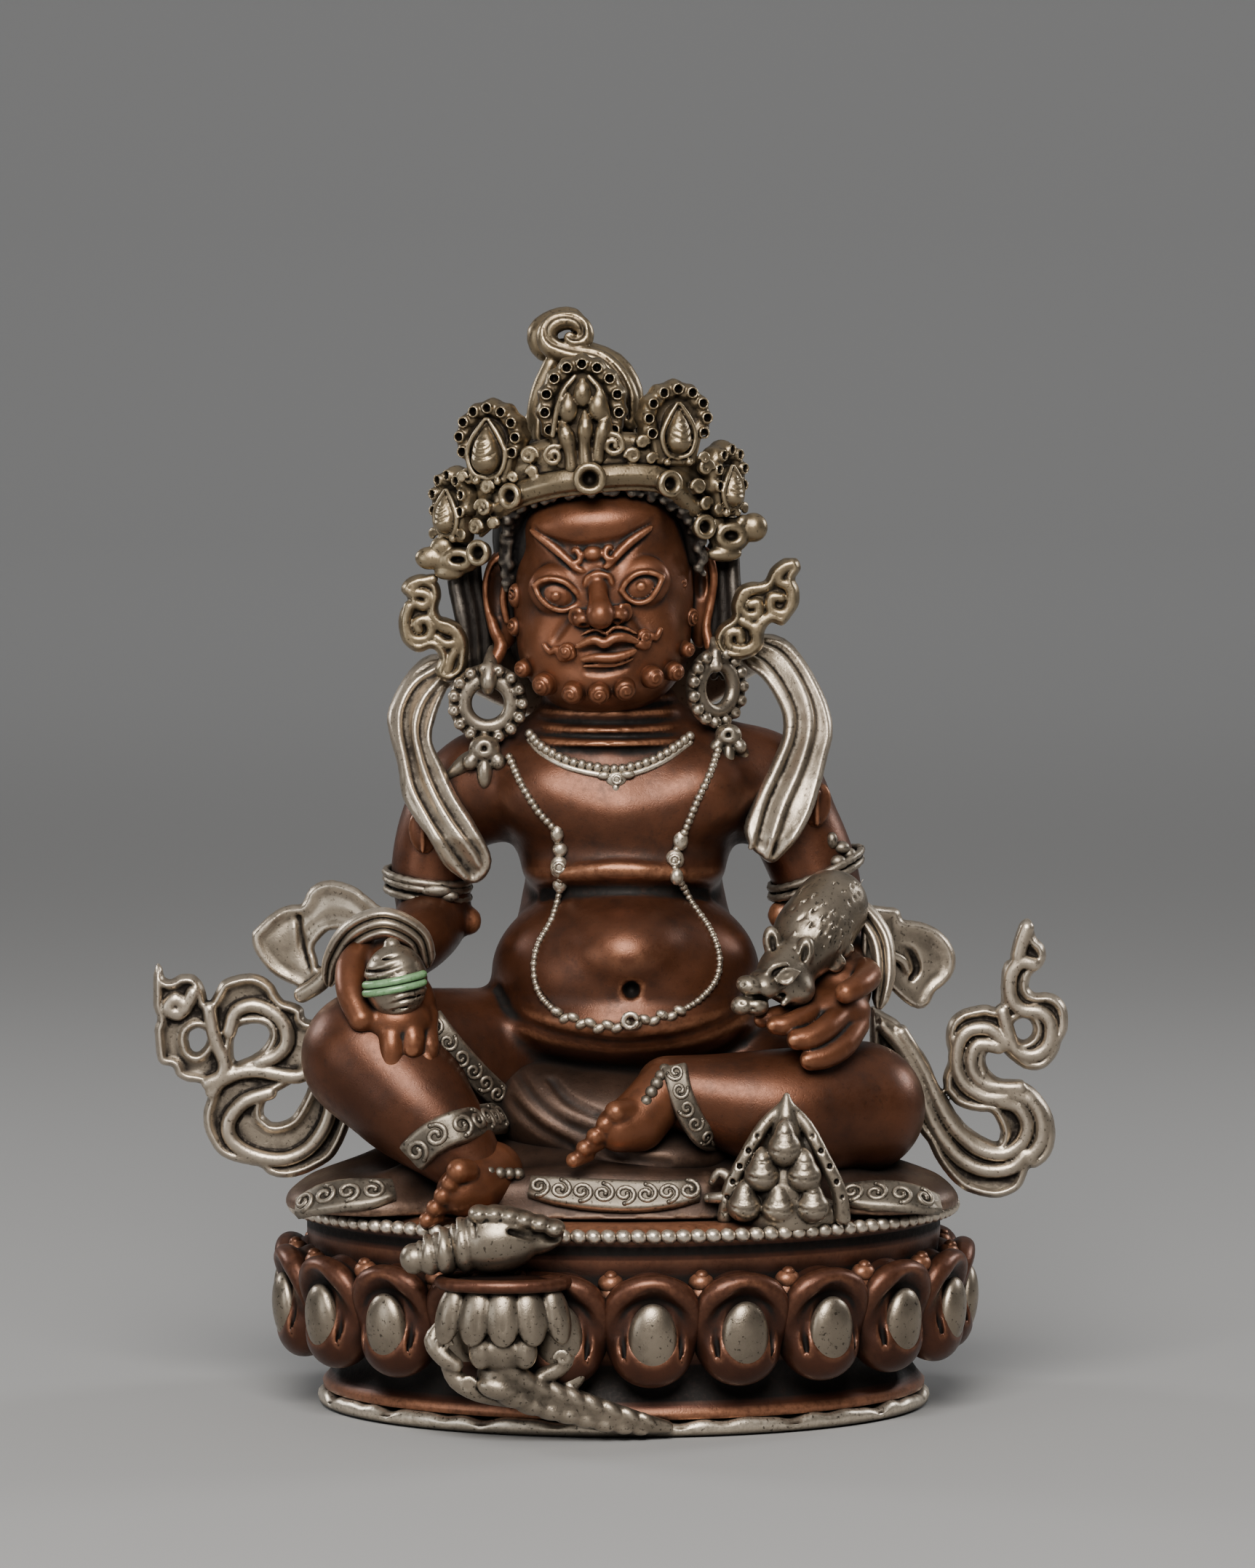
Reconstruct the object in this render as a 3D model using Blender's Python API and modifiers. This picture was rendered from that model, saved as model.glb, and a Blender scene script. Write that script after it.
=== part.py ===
"""A small cast statue of Jambhala on an oval lotus base.

Two castings: the figure, with everything that is fused to it, and the lotus base, with the conch on its front.
Sizes are in metres. The figure's own forms are given in figure millimetres, measured from its seat, and they
follow FIGURE_HEIGHT as shares of it. X runs to the viewer's right, Y to the back and Z up.
"""

import math

import bpy
import bmesh
from mathutils import Matrix, Vector

MM = 0.001

# Driving sizes of the lotus base
FOOT_HALF_WIDTH = 0.0322
FOOT_HEIGHT = 0.0020
NECK_HALF_WIDTH = 0.0298
NECK_LEVEL = 0.0055
PETAL_FOOT_LEVEL = 0.0070
PETAL_TOP_LEVEL = 0.0176
DRUM_HALF_WIDTH = 0.0338
RIM_HALF_WIDTH = 0.0346
BASE_HEIGHT = 0.0206
RIM_BEAD_RADIUS = 0.0008
OVAL_DEPTH_SHARE = 0.795
PETAL_COUNT = 21
PETAL_HALF_WIDTH = 0.0046
PETAL_BULGE = 0.0030
INSERT_HALF_WIDTH = 0.0023
INSERT_HALF_HEIGHT = 0.0033
CONCH_LENGTH = 0.0170

# Driving sizes of the figure
FIGURE_HEIGHT = 0.0941
SEAT_GAP = 0.0003
READ_HEIGHT = 94.1
SEAT_READ = 20.9
UNIT = FIGURE_HEIGHT / READ_HEIGHT

# Fineness of the surfaces
FIGURE_VOXEL = 0.00045
BASE_VOXEL = 0.0005
FIGURE_TRIANGLES = 7100
BASE_TRIANGLES = 2800

FRONT = Vector((0, -1, 0))


def clear_scene():
    for item in list(bpy.data.objects):
        bpy.data.objects.remove(item, do_unlink=True)


def metal(name, colour, roughness):
    material = bpy.data.materials.new(name)
    material.use_nodes = True
    shader = material.node_tree.nodes["Principled BSDF"]
    shader.inputs["Base Color"].default_value = (*colour, 1.0)
    shader.inputs["Metallic"].default_value = 1.0
    shader.inputs["Roughness"].default_value = roughness
    return material


def collection(name):
    made = bpy.data.collections.new(name)
    bpy.context.scene.collection.children.link(made)
    return made


class Form:
    """Overlapping closed bodies, gathered before they are fused."""

    def __init__(self):
        self.points = []
        self.faces = []

    def add(self, points, faces):
        first = len(self.points)
        self.points.extend(points)
        self.faces.extend(tuple(first + corner for corner in face) for face in faces)


def unit_body(make, **sizes):
    """The points and faces of a primitive, kept so that it can be copied often."""
    body = bmesh.new()
    make(body, **sizes)
    points = [vertex.co.copy() for vertex in body.verts]
    faces = [tuple(vertex.index for vertex in face.verts) for face in body.faces]
    body.free()
    return points, faces


BALL = unit_body(bmesh.ops.create_uvsphere, u_segments=20, v_segments=12, radius=1)
CONE = unit_body(bmesh.ops.create_cone, cap_ends=True, segments=20, radius1=1, radius2=0.12, depth=1)


def copy_of(form, body, place):
    points, faces = body
    form.add([place @ point for point in points], faces)


def ball(form, centre, radii, turn=(0, 0, 0)):
    """An ellipsoid. The turn is in degrees about X, Y and Z."""
    spin = Matrix.Identity(4)
    for angle, axis in zip(turn, "XYZ"):
        spin = Matrix.Rotation(math.radians(angle), 4, axis) @ spin
    copy_of(form, BALL, Matrix.Translation(centre) @ spin @ Matrix.Diagonal((*radii, 1)))


def cone(form, centre, half_width, half_depth, height):
    """A blunt cone with its point up."""
    copy_of(form, CONE, Matrix.Translation(centre) @ Matrix.Diagonal((half_width, half_depth, height, 1)))


def drop(form, centre, half_width, half_height, half_depth):
    """A jewel shaped like a drop with its point up."""
    x, y, z = centre
    ball(form, (x, y, z - 0.3 * half_height), (half_width, half_depth, 0.7 * half_height))
    cone(form, (x, y, z + 0.35 * half_height), 0.8 * half_width, 0.8 * half_depth, 1.3 * half_height)


def smooth(points, steps=6):
    """Points along a smooth curve through the given points, of any length of tuple."""
    ends = [points[0], *points, points[-1]]
    found = []
    for a, b, c, d in zip(ends, ends[1:], ends[2:], ends[3:]):
        for step in range(steps):
            t = step / steps
            found.append(tuple(
                0.5 * (2 * q + (r - p) * t + (2 * p - 5 * q + 4 * r - s) * t ** 2 + (3 * q - p - 3 * r + s) * t ** 3)
                for p, q, r, s in zip(a, b, c, d)))
    found.append(tuple(points[-1]))
    return found


def loft(form, rings):
    """Joins rings of equally many points into one closed body."""
    count = len(rings[0])
    faces = [tuple(reversed(range(count))), tuple(range((len(rings) - 1) * count, len(rings) * count))]
    for low in range(0, (len(rings) - 1) * count, count):
        for i in range(count):
            after = (i + 1) % count
            faces.append((low + i, low + after, low + count + after, low + count + i))
    form.add([point for ring in rings for point in ring], faces)


def directions(centres):
    """The direction of travel at each point of a route."""
    found = []
    for i in range(len(centres)):
        before = centres[max(i - 1, 0)]
        after = centres[min(i + 1, len(centres) - 1)]
        found.append((after - before).normalized())
    return found


def tube(form, points, sides=12):
    """A round limb through points of (x, y, z, radius), with round ends."""
    samples = smooth(points)
    centres = [Vector(sample[:3]) for sample in samples]
    side = Vector((0, 1, 0))
    rings = []
    for centre, ahead, sample in zip(centres, directions(centres), samples):
        side = (side - ahead * side.dot(ahead))
        if side.length < 0.1:
            side = ahead.orthogonal()
        side.normalize()
        across = ahead.cross(side)
        turns = [2 * math.pi * i / sides for i in range(sides)]
        rings.append([centre + sample[3] * (math.cos(a) * side + math.sin(a) * across) for a in turns])
    loft(form, rings)
    for end in (points[0], points[-1]):
        ball(form, end[:3], (end[3],) * 3)


def ribbon(form, points, thickness, grooves=2, facing=FRONT):
    """A flat band through points of (x, y, z, width). Its front face has lengthwise grooves."""
    samples = smooth(points)
    centres = [Vector(sample[:3]) for sample in samples]
    across_steps = 6 * (grooves + 1)
    rings = []
    for centre, ahead, sample in zip(centres, directions(centres), samples):
        out = (facing - ahead * facing.dot(ahead)).normalized()
        side = ahead.cross(out)
        half = sample[3] / 2
        front = []
        back = []
        for i in range(across_steps + 1):
            u = -1 + 2 * i / across_steps
            swell = 0.35 + 0.65 * abs(math.sin(math.pi * (grooves + 1) * (u + 1) / 2))
            front.append(centre + side * half * u + out * thickness * 0.5 * swell)
            back.append(centre + side * half * u - out * thickness * 0.4)
        rings.append(front + list(reversed(back)))
    loft(form, rings)


def string_of(form, points, radius):
    """A row of beads, close enough to touch, along a smooth route."""
    route = [Vector(point) for point in smooth(points, 12)]
    gone = 0.0
    for before, after in zip(route, route[1:]):
        gone += (after - before).length
        if gone >= 1.5 * radius:
            ball(form, after, (radius,) * 3)
            gone = 0.0
    tube(form, [(*point, 0.6 * radius) for point in points], sides=8)


def ring(form, centre, radius, wire, turn=0.0, stretch=1.0):
    """A round ring that faces the front, turned about Z by so many degrees."""
    spin = Matrix.Rotation(math.radians(turn), 3, "Z")
    points = []
    for i in range(13):
        angle = 2 * math.pi * i / 12
        spot = spin @ Vector((radius * math.cos(angle), 0, stretch * radius * math.sin(angle)))
        points.append((centre[0] + spot.x, centre[1] + spot.y, centre[2] + spot.z, wire))
    tube(form, points, sides=8)


def torso(form):
    ball(form, (0, 2.5, 32.5), (16.5, 13, 11))
    ball(form, (0.2, -2.2, 46), (14, 12.3, 11))
    ball(form, (0.2, -4.2, 48.2), (8.6, 10.8, 6.2))
    ball(form, (0, 0.5, 61), (12, 8.8, 9.5))
    ball(form, (0, 1.5, 66), (17, 6.8, 5.2))
    ball(form, (0, 4, 52), (11.5, 8, 12))
    tube(form, [(-0.9, 1, 66, 8.2), (-1.6, 0, 70.5, 7), (-2, 0, 76, 6.4)])
    for level, radius in ((71.2, 7.6), (73.2, 7.0)):
        ball(form, (-1.7, 0, level), (radius, radius, 0.8))
    ball(form, (0, -4, 38.6), (13.5, 10, 2.2), (-12, 0, 0))


def necklace(form):
    collar = [(-9.6, -3.5, 70.6), (-6.2, -7.2, 68.8), (-1, -8.3, 67.9), (3.4, -7.2, 68.7), (6.9, -3.5, 70.6)]
    string_of(form, collar, 0.8)
    ball(form, (-0.8, -8.6, 66.8), (1.1, 0.8, 1.3))
    left = [(-12, -4, 68), (-9, -7.4, 63.5), (-7, -8.4, 58.5), (-7, -9.4, 54), (-9.4, -12.3, 47.5),
            (-8, -13.4, 43), (-4, -13.8, 41.5), (0.7, -14, 41.2)]
    right = [(9.9, -5, 68.5), (7.8, -7.9, 64.5), (5.8, -8.6, 58.5), (6, -9.5, 55), (9, -11.8, 50.5),
             (9.6, -12.8, 46), (6.4, -13.7, 42.4), (0.7, -14, 41.2)]
    for route in (left, right):
        string_of(form, route, 0.62)
    for x, z in ((-6.8, 60.3), (-6.7, 57.3), (6.0, 60), (5.7, 57)):
        ball(form, (x, -8.8, z), (1.0, 0.8, 1.0))


def head(form):
    ball(form, (-2.4, -0.8, 85.4), (9.3, 10.4, 11.6))
    ball(form, (-2.3, -3.4, 79.2), (7.6, 7.4, 5.4))
    ball(form, (-3.2, 2.2, 90.5), (10.8, 11, 9.5))
    for side in (-1, 1):
        centre = -2.4 + side * 10.3
        ball(form, (centre, 0.5, 84.2), (1.6, 2.6, 5.4))
        ball(form, (centre + side * 2.2, 2.2, 84), (1.9, 3.6, 6.5))
    ball(form, (-2.4, 4.5, 80), (9.5, 7.5, 10))


def face(form):
    ball(form, (-2.8, -9.2, 92.8), (6.0, 2.4, 2.0))
    tube(form, [(-9.3, -8.4, 91.6, 0.5), (-6.5, -10.8, 90, 0.8), (-4.3, -11.8, 88.3, 0.8)])
    tube(form, [(3.2, -8.6, 92, 0.5), (0.7, -10.8, 90.2, 0.8), (-1.1, -11.8, 88.6, 0.8)])
    ball(form, (-2.7, -11.2, 89.6), (1.5, 1.1, 1.1))
    ball(form, (-6.7, -8.9, 85.9), (2.8, 2.3, 2.1))
    ball(form, (1.7, -8.9, 86.4), (2.8, 2.3, 2.1))
    tube(form, [(-2.6, -10.6, 87.6, 1.2), (-2.5, -12.2, 85.4, 1.4), (-2.4, -13.3, 83.6, 1.7)])
    for x in (-4.3, -0.6):
        ball(form, (x, -11.6, 83), (1.3, 1.5, 1.0))
    for side, high in ((-1, 83), (1, 83.4)):
        ball(form, (-2.3 + side * 5.2, -7.2, high - 1.4), (3.2, 2.8, 3.4))
    tube(form, [(-4.6, -10.6, 80.4, 0.6), (-2.1, -11.7, 80.9, 0.9), (0.6, -10.9, 80.7, 0.6)])
    tube(form, [(-4.1, -10.3, 78.7, 0.6), (-1.8, -11.3, 78.6, 0.9), (0.9, -10.6, 78.9, 0.6)])
    for centre in ((-5.6, -10.2, 79.3), (-7.5, -9.3, 79.9), (2.0, -10.2, 80.9), (3.3, -9.3, 81.4)):
        ball(form, centre, (0.9, 0.9, 0.7))
    knobs = ((-9.9, -5.4, 77.6), (-8, -7.4, 75.9), (-5.2, -9, 75.1), (-2.5, -9.7, 75), (-0.1, -9.3, 75.5),
             (2.6, -8.2, 76.7), (4.6, -6.2, 77.1), (-11.2, -4, 85.2), (5.8, -5, 86.2), (6.6, -3.4, 82.9))
    for centre in knobs:
        ball(form, centre, (1.05, 1.1, 1.05))


def crown_leaf(form, centre, half_width, half_height, turn, jewel=True):
    """An upright leaf of the crown that faces outwards, turned about Z, with a drop jewel on its front."""
    x, y, z = centre
    out = Matrix.Rotation(math.radians(turn), 3, "Z") @ FRONT
    ball(form, centre, (half_width, 1.1, half_height), (0, 0, turn))
    edge = []
    for i in range(9):
        angle = math.radians(-50 + 280 * i / 8)
        along = Matrix.Rotation(math.radians(turn), 3, "Z") @ Vector((0.85 * half_width * math.cos(angle), 0, 0))
        edge.append((x + along.x, y + along.y, z + 0.85 * half_height * math.sin(angle), 0.75))
    tube(form, edge, sides=8)
    if jewel:
        spot = Vector(centre) + 1.0 * out - Vector((0, 0, 0.25 * half_height))
        ball(form, spot, (0.42 * half_width, 0.9, 0.4 * half_height), (0, 0, turn))


def crown(form):
    crown_leaf(form, (-4.3, -9.6, 104), 5.0, 5.9, 0, jewel=False)
    for x, lean in ((-6.4, -1.2), (-4.3, 0), (-2.2, 1.2)):
        tube(form, [(x, -10.8, 99.5, 0.6), (x + 0.2 * lean, -10.9, 103, 0.6), (x + 0.4 * lean, -10.9, 106, 0.9)])
    crown_leaf(form, (5.3, -8, 102.6), 4.1, 4.7, 28)
    crown_leaf(form, (-13.6, -7, 100.9), 3.9, 4.6, -32)
    crown_leaf(form, (10.2, -2.5, 97.4), 3.2, 3.9, 62)
    crown_leaf(form, (-18, -1.5, 95.2), 3.2, 3.9, -62)
    band = [(-14.8, -3.5, 92.5, 1.1), (-11.5, -8.4, 95.6, 1.1), (-3.5, -11.3, 97.6, 1.2), (4.4, -9.7, 96.8, 1.1),
            (8.2, -3.5, 93, 1.1)]
    tube(form, band, sides=8)
    ball(form, (-3.4, 1.8, 97.2), (10.6, 9.6, 4.6))
    for x, y, z, radius in ((-3.5, -12, 97.6, 1.2), (-11.4, -9, 95.7, 0.95), (4.5, -10.3, 97, 0.95),
                            (-14.8, -5.5, 89.7, 0.9), (8.1, -5.5, 92.4, 0.9)):
        ring(form, (x, y, z), radius, 0.5)
        ball(form, (x, y + 0.8, z), (radius, 0.8, radius))
    ball(form, (11, -3, 91.8), (2.5, 1.6, 2.3))
    ball(form, (13.3, -2.6, 92.8), (1.4, 1.3, 1.4))
    ball(form, (-18, -2.6, 88.9), (3.7, 1.5, 2.1), (0, -12, 0))


def topknot(form):
    ball(form, (-4.6, -0.5, 102.6), (5.4, 5.4, 6.8))
    tube(form, [(1.1, -1.5, 103.5, 1.2), (0.7, -2, 106.8, 1.2), (-2.2, -2.4, 109.3, 1.2), (-6.8, -2.2, 109.9, 1.3),
                (-8.6, -1.6, 111.6, 1.3), (-7.9, -1, 113.5, 1.3), (-5.4, -0.8, 113.9, 1.1),
                (-4.2, -1.2, 112.5, 1.0), (-5.6, -1.6, 111.8, 0.9)], sides=10)
    ball(form, (-5.8, -0.4, 112), (2.6, 1.1, 2.0))


def ribbons_and_earrings(form):
    right = [(17.8, -1, 88.6, 1.8), (15.6, -1, 87, 3.2), (16.2, -1, 84.8, 3.4), (13.4, -1.5, 85.2, 3),
             (13.4, -1.5, 82.6, 3), (11.6, -2, 81, 3.2), (10.2, -1, 79.4, 2.4)]
    left = [(-21, -1, 87.4, 2.4), (-19.8, -1, 85.6, 3), (-21.4, -1, 83.6, 3), (-19.2, -1.5, 81.8, 3.2),
            (-17.4, -1, 79.4, 2.8), (-16.8, 0, 77, 2.2)]
    for route in (right, left):
        ribbon(form, route, 2.4, grooves=1)
    ball(form, (15.4, -1, 85.2), (2.4, 1.2, 2.4))
    ball(form, (12.4, -1.2, 81.6), (2.3, 1.3, 2.1))
    ball(form, (-20.2, -1, 84), (2.3, 1.2, 2.3))
    for x in (-15.8, 9.9):
        tube(form, [(x, 1, 90, 1.1), (0.98 * x, 0.6, 84, 1.2), (0.93 * x, -0.5, 78.6, 1.0)])
    ring(form, (-14.1, -3, 74), 3.1, 1.05)
    tube(form, [(-13.8, -0.8, 79.2, 0.8), (-14, -2.6, 76.8, 0.8)])
    ball(form, (-14.3, -3.4, 69.2), (2.3, 1.4, 1.9))
    ball(form, (-14.6, -4, 67), (2.4, 1.2, 1.3))
    ring(form, (9.6, -2.6, 75.2), 2.9, 1.05, turn=40)
    ball(form, (10.6, -3.4, 71), (1.9, 1.5, 2.1))
    ball(form, (11.3, -4.2, 69), (1.5, 1.1, 1.2))


def scarves(form):
    left = [(-14.5, 5, 80.5, 4.5), (-18.4, 3.5, 78.4, 5), (-21, 1.5, 75.6, 5.4), (-21.9, -0.5, 72.2, 5.6),
            (-20.9, -3, 68, 5.6), (-19.2, -4.8, 64, 5.6), (-17.3, -5.2, 60.6, 5.4), (-15.4, -4.6, 57.4, 4.2)]
    right = [(11, 5, 81.5, 4.5), (14.6, 3.5, 80, 5), (17.4, 1.5, 77.4, 5.4), (18.7, -0.5, 74, 5.6),
             (18.6, -2.8, 71, 5.8), (17.3, -5, 66.4, 5.8), (16, -5.4, 62.6, 5.4), (14.9, -4.8, 59, 4)]
    for route in (left, right):
        ribbon(form, route, 2.6, grooves=2, facing=Vector((0, -1, 0.15)))
    back = [(-17.5, 4.5, 79, 6), (-10, 9.5, 76, 8), (-2, 10.5, 74, 8.5), (7, 9.5, 76, 8), (14, 4.5, 80, 6)]
    ribbon(form, back, 2.4, grooves=2, facing=Vector((0, 1, 0.2)))


def arms(form):
    tube(form, [(-15.8, 1.5, 66, 5.4), (-18.8, 2, 61.5, 4.7), (-20.4, 2, 56, 4.2), (-20, 1, 51.5, 3.9),
                (-21.6, -4, 49.2, 3.6), (-23.8, -9.5, 48, 3.2)])
    tube(form, [(15.2, 1.5, 66, 5.4), (17.4, 2, 61.5, 4.7), (19.4, 2, 56, 4.4), (20.8, 1, 51.5, 4.0),
                (22.2, -4, 48, 3.6), (22.6, -10, 45.2, 3.2)])
    for side, x in ((-1, -20.4), (1, 19.4)):
        ring(form, (x, 1.6, 55.4), 3.9, 0.8)
        ball(form, (x, 1.6, 55.4), (4.7, 4.7, 1.1), (0, side * 8, 0))
    ball(form, (-16.4, 1, 50.6), (1.2, 1.5, 1.5))


def hand_with_fruit(form):
    ball(form, (-24.4, -14.4, 45), (4.2, 3.4, 5))
    tube(form, [(-28, -13, 47.6, 1.3), (-27.8, -16, 45.4, 1.4), (-26.6, -17.6, 43, 1.1)])
    ball(form, (-23.3, -17.6, 45.2), (3.3, 3, 4.5))
    ball(form, (-23.8, -17, 49.6), (0.9, 0.9, 0.9))
    for x, top, low, radius in ((-25.6, 41, 37, 1.1), (-23.4, 41.6, 37.6, 1.25), (-21.2, 41.4, 37.8, 1.1),
                                (-19.6, 40.4, 37.6, 0.9)):
        tube(form, [(x, -15.5, top, radius), (x + 0.3, -18, 0.5 * (top + low), radius), (x, -18.6, low, radius)])
    band = [(-20.6, -11, 47.4, 2.6), (-22.4, -12.6, 50.8, 2.8), (-26, -12.6, 51.8, 3), (-28.8, -10.6, 49.4, 3),
            (-30, -8, 46.6, 2.6)]
    ribbon(form, band, 2.2, grooves=1)


def hand_with_mongoose(form):
    ball(form, (21.4, -13.2, 42.8), (4, 3.6, 3))
    tube(form, [(23, -11, 46, 1.4), (23, -14.4, 45.6, 1.3), (21.4, -17, 44.6, 1.1)])
    for x, z, reach in ((24.2, 41, 19.8), (22.4, 40, 19.4), (20.2, 39.8, 19), (17.4, 41.2, 18.6)):
        tube(form, [(x + 0.8, -13, z + 0.8, 1.1), (x, -16.4, z - 0.6, 1.15), (x - 1.8, -reach, z + 0.6, 1)])
    tube(form, [(22, -4.5, 53.6, 2.6), (20.6, -8, 52.8, 3.8), (19.2, -11.2, 49.8, 3.6), (17.2, -14.6, 47.2, 2.8)])
    ball(form, (15.8, -16.6, 46.2), (2.6, 3.2, 2.5))
    tube(form, [(15, -18, 45.6, 1.7), (13.4, -20.4, 44.2, 1.3)])
    tube(form, [(15.4, -17.2, 44, 1.2), (13.8, -19.4, 42.6, 0.9)])
    for x, z in ((15.4, 49), (18.6, 48.6)):
        ball(form, (x, -15, z), (0.9, 0.7, 1.0))
    ball(form, (21.4, -12.2, 47.4), (1.8, 1.6, 2.2))
    band = [(19.2, -8.4, 54.2, 2.2), (24.6, -6.6, 52, 2.8), (27.6, -7.4, 48.4, 2.8), (27.2, -9.4, 44.6, 2.4)]
    ribbon(form, band, 2.2, grooves=1)


def legs(form):
    tube(form, [(-8, 2, 35, 8.5), (-17, -5, 36.8, 8), (-25.4, -11, 38, 6.6)])
    tube(form, [(-26.4, -12.4, 37.8, 6.4), (-21.8, -15.4, 33.8, 6.1), (-17.4, -17.6, 29.4, 4.2)])
    tube(form, [(8, 2, 33.5, 8.5), (17, -4, 32.8, 8), (24.2, -9, 32.2, 6.6)])
    tube(form, [(24.4, -11, 32.3, 6.3), (16.8, -14.6, 32.8, 6), (9.4, -16.4, 33.6, 4.4), (4.6, -17, 35, 3.2)])
    tube(form, [(-16.6, -18.6, 27, 3.2), (-14.8, -20.4, 25, 3), (-17, -22.4, 23.4, 2.2)])
    for i in range(5):
        ball(form, (-14.6 - 1.15 * i, -22.8 + 0.3 * i, 25.2 - 0.85 * i), (0.85, 1.3, 0.85))
    tube(form, [(3.4, -17.6, 34.4, 3), (0.4, -19.6, 32.6, 2.7), (-1.6, -21.2, 31, 2)])
    for i in range(5):
        ball(form, (-0.6 - 1.15 * i, -22.2 - 0.1 * i, 31.8 - 0.55 * i), (0.85, 1.2, 0.85))
    string_of(form, [(-17.6, -20.4, 27.6), (-14.4, -21.8, 26.8), (-11.4, -20.6, 26.4)], 0.7)
    string_of(form, [(4.4, -18.6, 37), (2.2, -20.8, 34.4), (1, -20.8, 31.4)], 0.7)


def dhoti(form):
    ball(form, (-2, -6, 28.5), (18, 13, 7.5))
    hem = [(-20, -8.6, 42.2, 1.8), (-16, -12.2, 37, 1.9), (-12, -15.6, 32.5, 1.9), (-8, -18.2, 29.5, 2),
           (-3, -19.4, 28, 2)]
    ribbon(form, hem, 2.4, grooves=1)
    ankle = [(-20.8, -17, 27.2, 2.4), (-18.4, -20.4, 29.4, 2.6), (-14.8, -21.4, 30.2, 2.6), (-11, -19, 30, 2.4)]
    ribbon(form, ankle, 2.4, grooves=1)
    shin = [(5.6, -19.4, 37.6, 2), (6.2, -20.6, 34, 2.2), (7.8, -21, 31, 2.2), (10.6, -20.6, 27.6, 2.2)]
    ribbon(form, shin, 2.2, grooves=1)


def seat_cloth(form):
    ball(form, (0, -0.2, 21), (33.9, 24.4, 5.4))
    ball(form, (0, 2, 22), (27, 17, 8))
    ball(form, (-27.5, -8, 21.6), (6.6, 8.6, 3.6))
    ball(form, (27.8, -7, 21.6), (6.4, 9, 4.4))
    hem = [(-6, -22.6, 23, 2.6), (0, -23.6, 22.8, 2.8), (7, -23.4, 22.8, 2.8), (12, -22.4, 23, 2.6)]
    ribbon(form, hem, 2.2, grooves=1)


def jewel_heap(form):
    cone(form, (16.4, -21.4, 27.6), 6.2, 3.1, 14.4)
    rows = ((22.9, 3, 3.7), (26.4, 2, 4.0), (29.9, 1, 0))
    for level, count, pitch in rows:
        for i in range(count):
            x = 16.4 + pitch * (i - (count - 1) / 2)
            drop(form, (x, -23.9 + 0.22 * (level - 22.9), level), 1.5, 2.3, 1.3)


def wrist_scarf_left(form):
    loop = [(-24.6, -9, 51.6, 2.6), (-28, -6, 54, 3.4), (-32, -3, 53.8, 4.2), (-36, -1.5, 50.6, 5.2),
            (-36.2, -1, 47.6, 4.6), (-33.8, -2, 45.2, 3.4), (-30.4, -4, 44.4, 2.8)]
    ribbon(form, loop, 2.2, grooves=0)


def wrist_scarf_right(form):
    loop = [(25, -6, 52.8, 2.8), (28.6, -4.4, 51.6, 3.6), (32, -3, 48.6, 4.6), (31.6, -3, 45, 4.2),
            (29, -4.6, 43.4, 2.8)]
    ribbon(form, loop, 2.2, grooves=0)


def side_swirls(form):
    left = [(-26, -4, 36.5, 5), (-31.4, -3.4, 34.6, 5), (-31.8, -3.2, 30.2, 6), (-34.6, -3, 27.6, 6.2),
            (-39.2, -3, 28.2, 5.4), (-41.4, -3, 31.4, 4.6), (-40, -3, 34.2, 4), (-36.6, -3, 35.6, 4),
            (-35.2, -3, 39.2, 4), (-36.8, -3, 42.2, 4), (-40, -3, 42.6, 4), (-42, -3, 40.4, 3.8),
            (-42.9, -3, 37.2, 3.4), (-45.2, -3, 36.2, 3.4), (-47.2, -3, 38.2, 3.6), (-46.6, -3, 41.4, 3.2),
            (-48, -3, 43.8, 3), (-48.7, -3, 46.4, 1.2)]
    right = [(25.4, -3, 39.6, 5), (28.8, -3, 37.6, 5.2), (31.6, -3, 33.4, 5.4), (33.6, -3, 28.4, 5.8),
             (36.6, -3, 25.3, 6), (40, -3, 25.4, 5.6), (42.4, -3, 28.2, 5), (41.6, -3, 31.4, 4.8),
             (38.6, -3, 33.2, 4.2), (36, -3, 35.2, 4), (35.8, -3, 38.4, 4), (38, -3, 40.4, 3.8),
             (40.2, -3, 38.4, 3.4), (43, -3, 37.5, 3.4), (44.8, -3, 39.6, 3.4), (44, -3, 42.2, 3.2),
             (41.6, -3, 43.8, 3.2), (41.4, -3, 46.4, 3.2), (42.5, -3, 48.6, 2.6), (42.2, -3, 51.4, 1)]
    for route in (left, right):
        ribbon(form, route, 2.5, grooves=1)


def metres(form, name):
    """Turns the figure's millimetres above its seat into metres above the floor."""
    seat = BASE_HEIGHT + SEAT_GAP
    place = Matrix.Translation((0, 0, seat)) @ Matrix.Scale(UNIT, 4) @ Matrix.Translation((0, 0, -SEAT_READ))
    form.points = [place @ point for point in form.points]
    return mesh_object(form, name)


def mesh_object(form, name):
    mesh = bpy.data.meshes.new(name)
    mesh.from_pydata(form.points, [], form.faces)
    return bpy.data.objects.new(name, mesh)


def fuse(piece, voxel, triangles, rounds):
    """Makes one closed skin of the overlapping forms, and thins it to about so many triangles."""
    skin = piece.modifiers.new("skin", "REMESH")
    skin.mode = "VOXEL"
    skin.voxel_size = voxel
    soften = piece.modifiers.new("soften", "SMOOTH")
    soften.factor = 0.5
    soften.iterations = rounds
    seen = piece.evaluated_get(bpy.context.evaluated_depsgraph_get()).to_mesh()
    count = sum(len(face.vertices) - 2 for face in seen.polygons)
    thin = piece.modifiers.new("thin", "DECIMATE")
    thin.ratio = triangles / count


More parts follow.
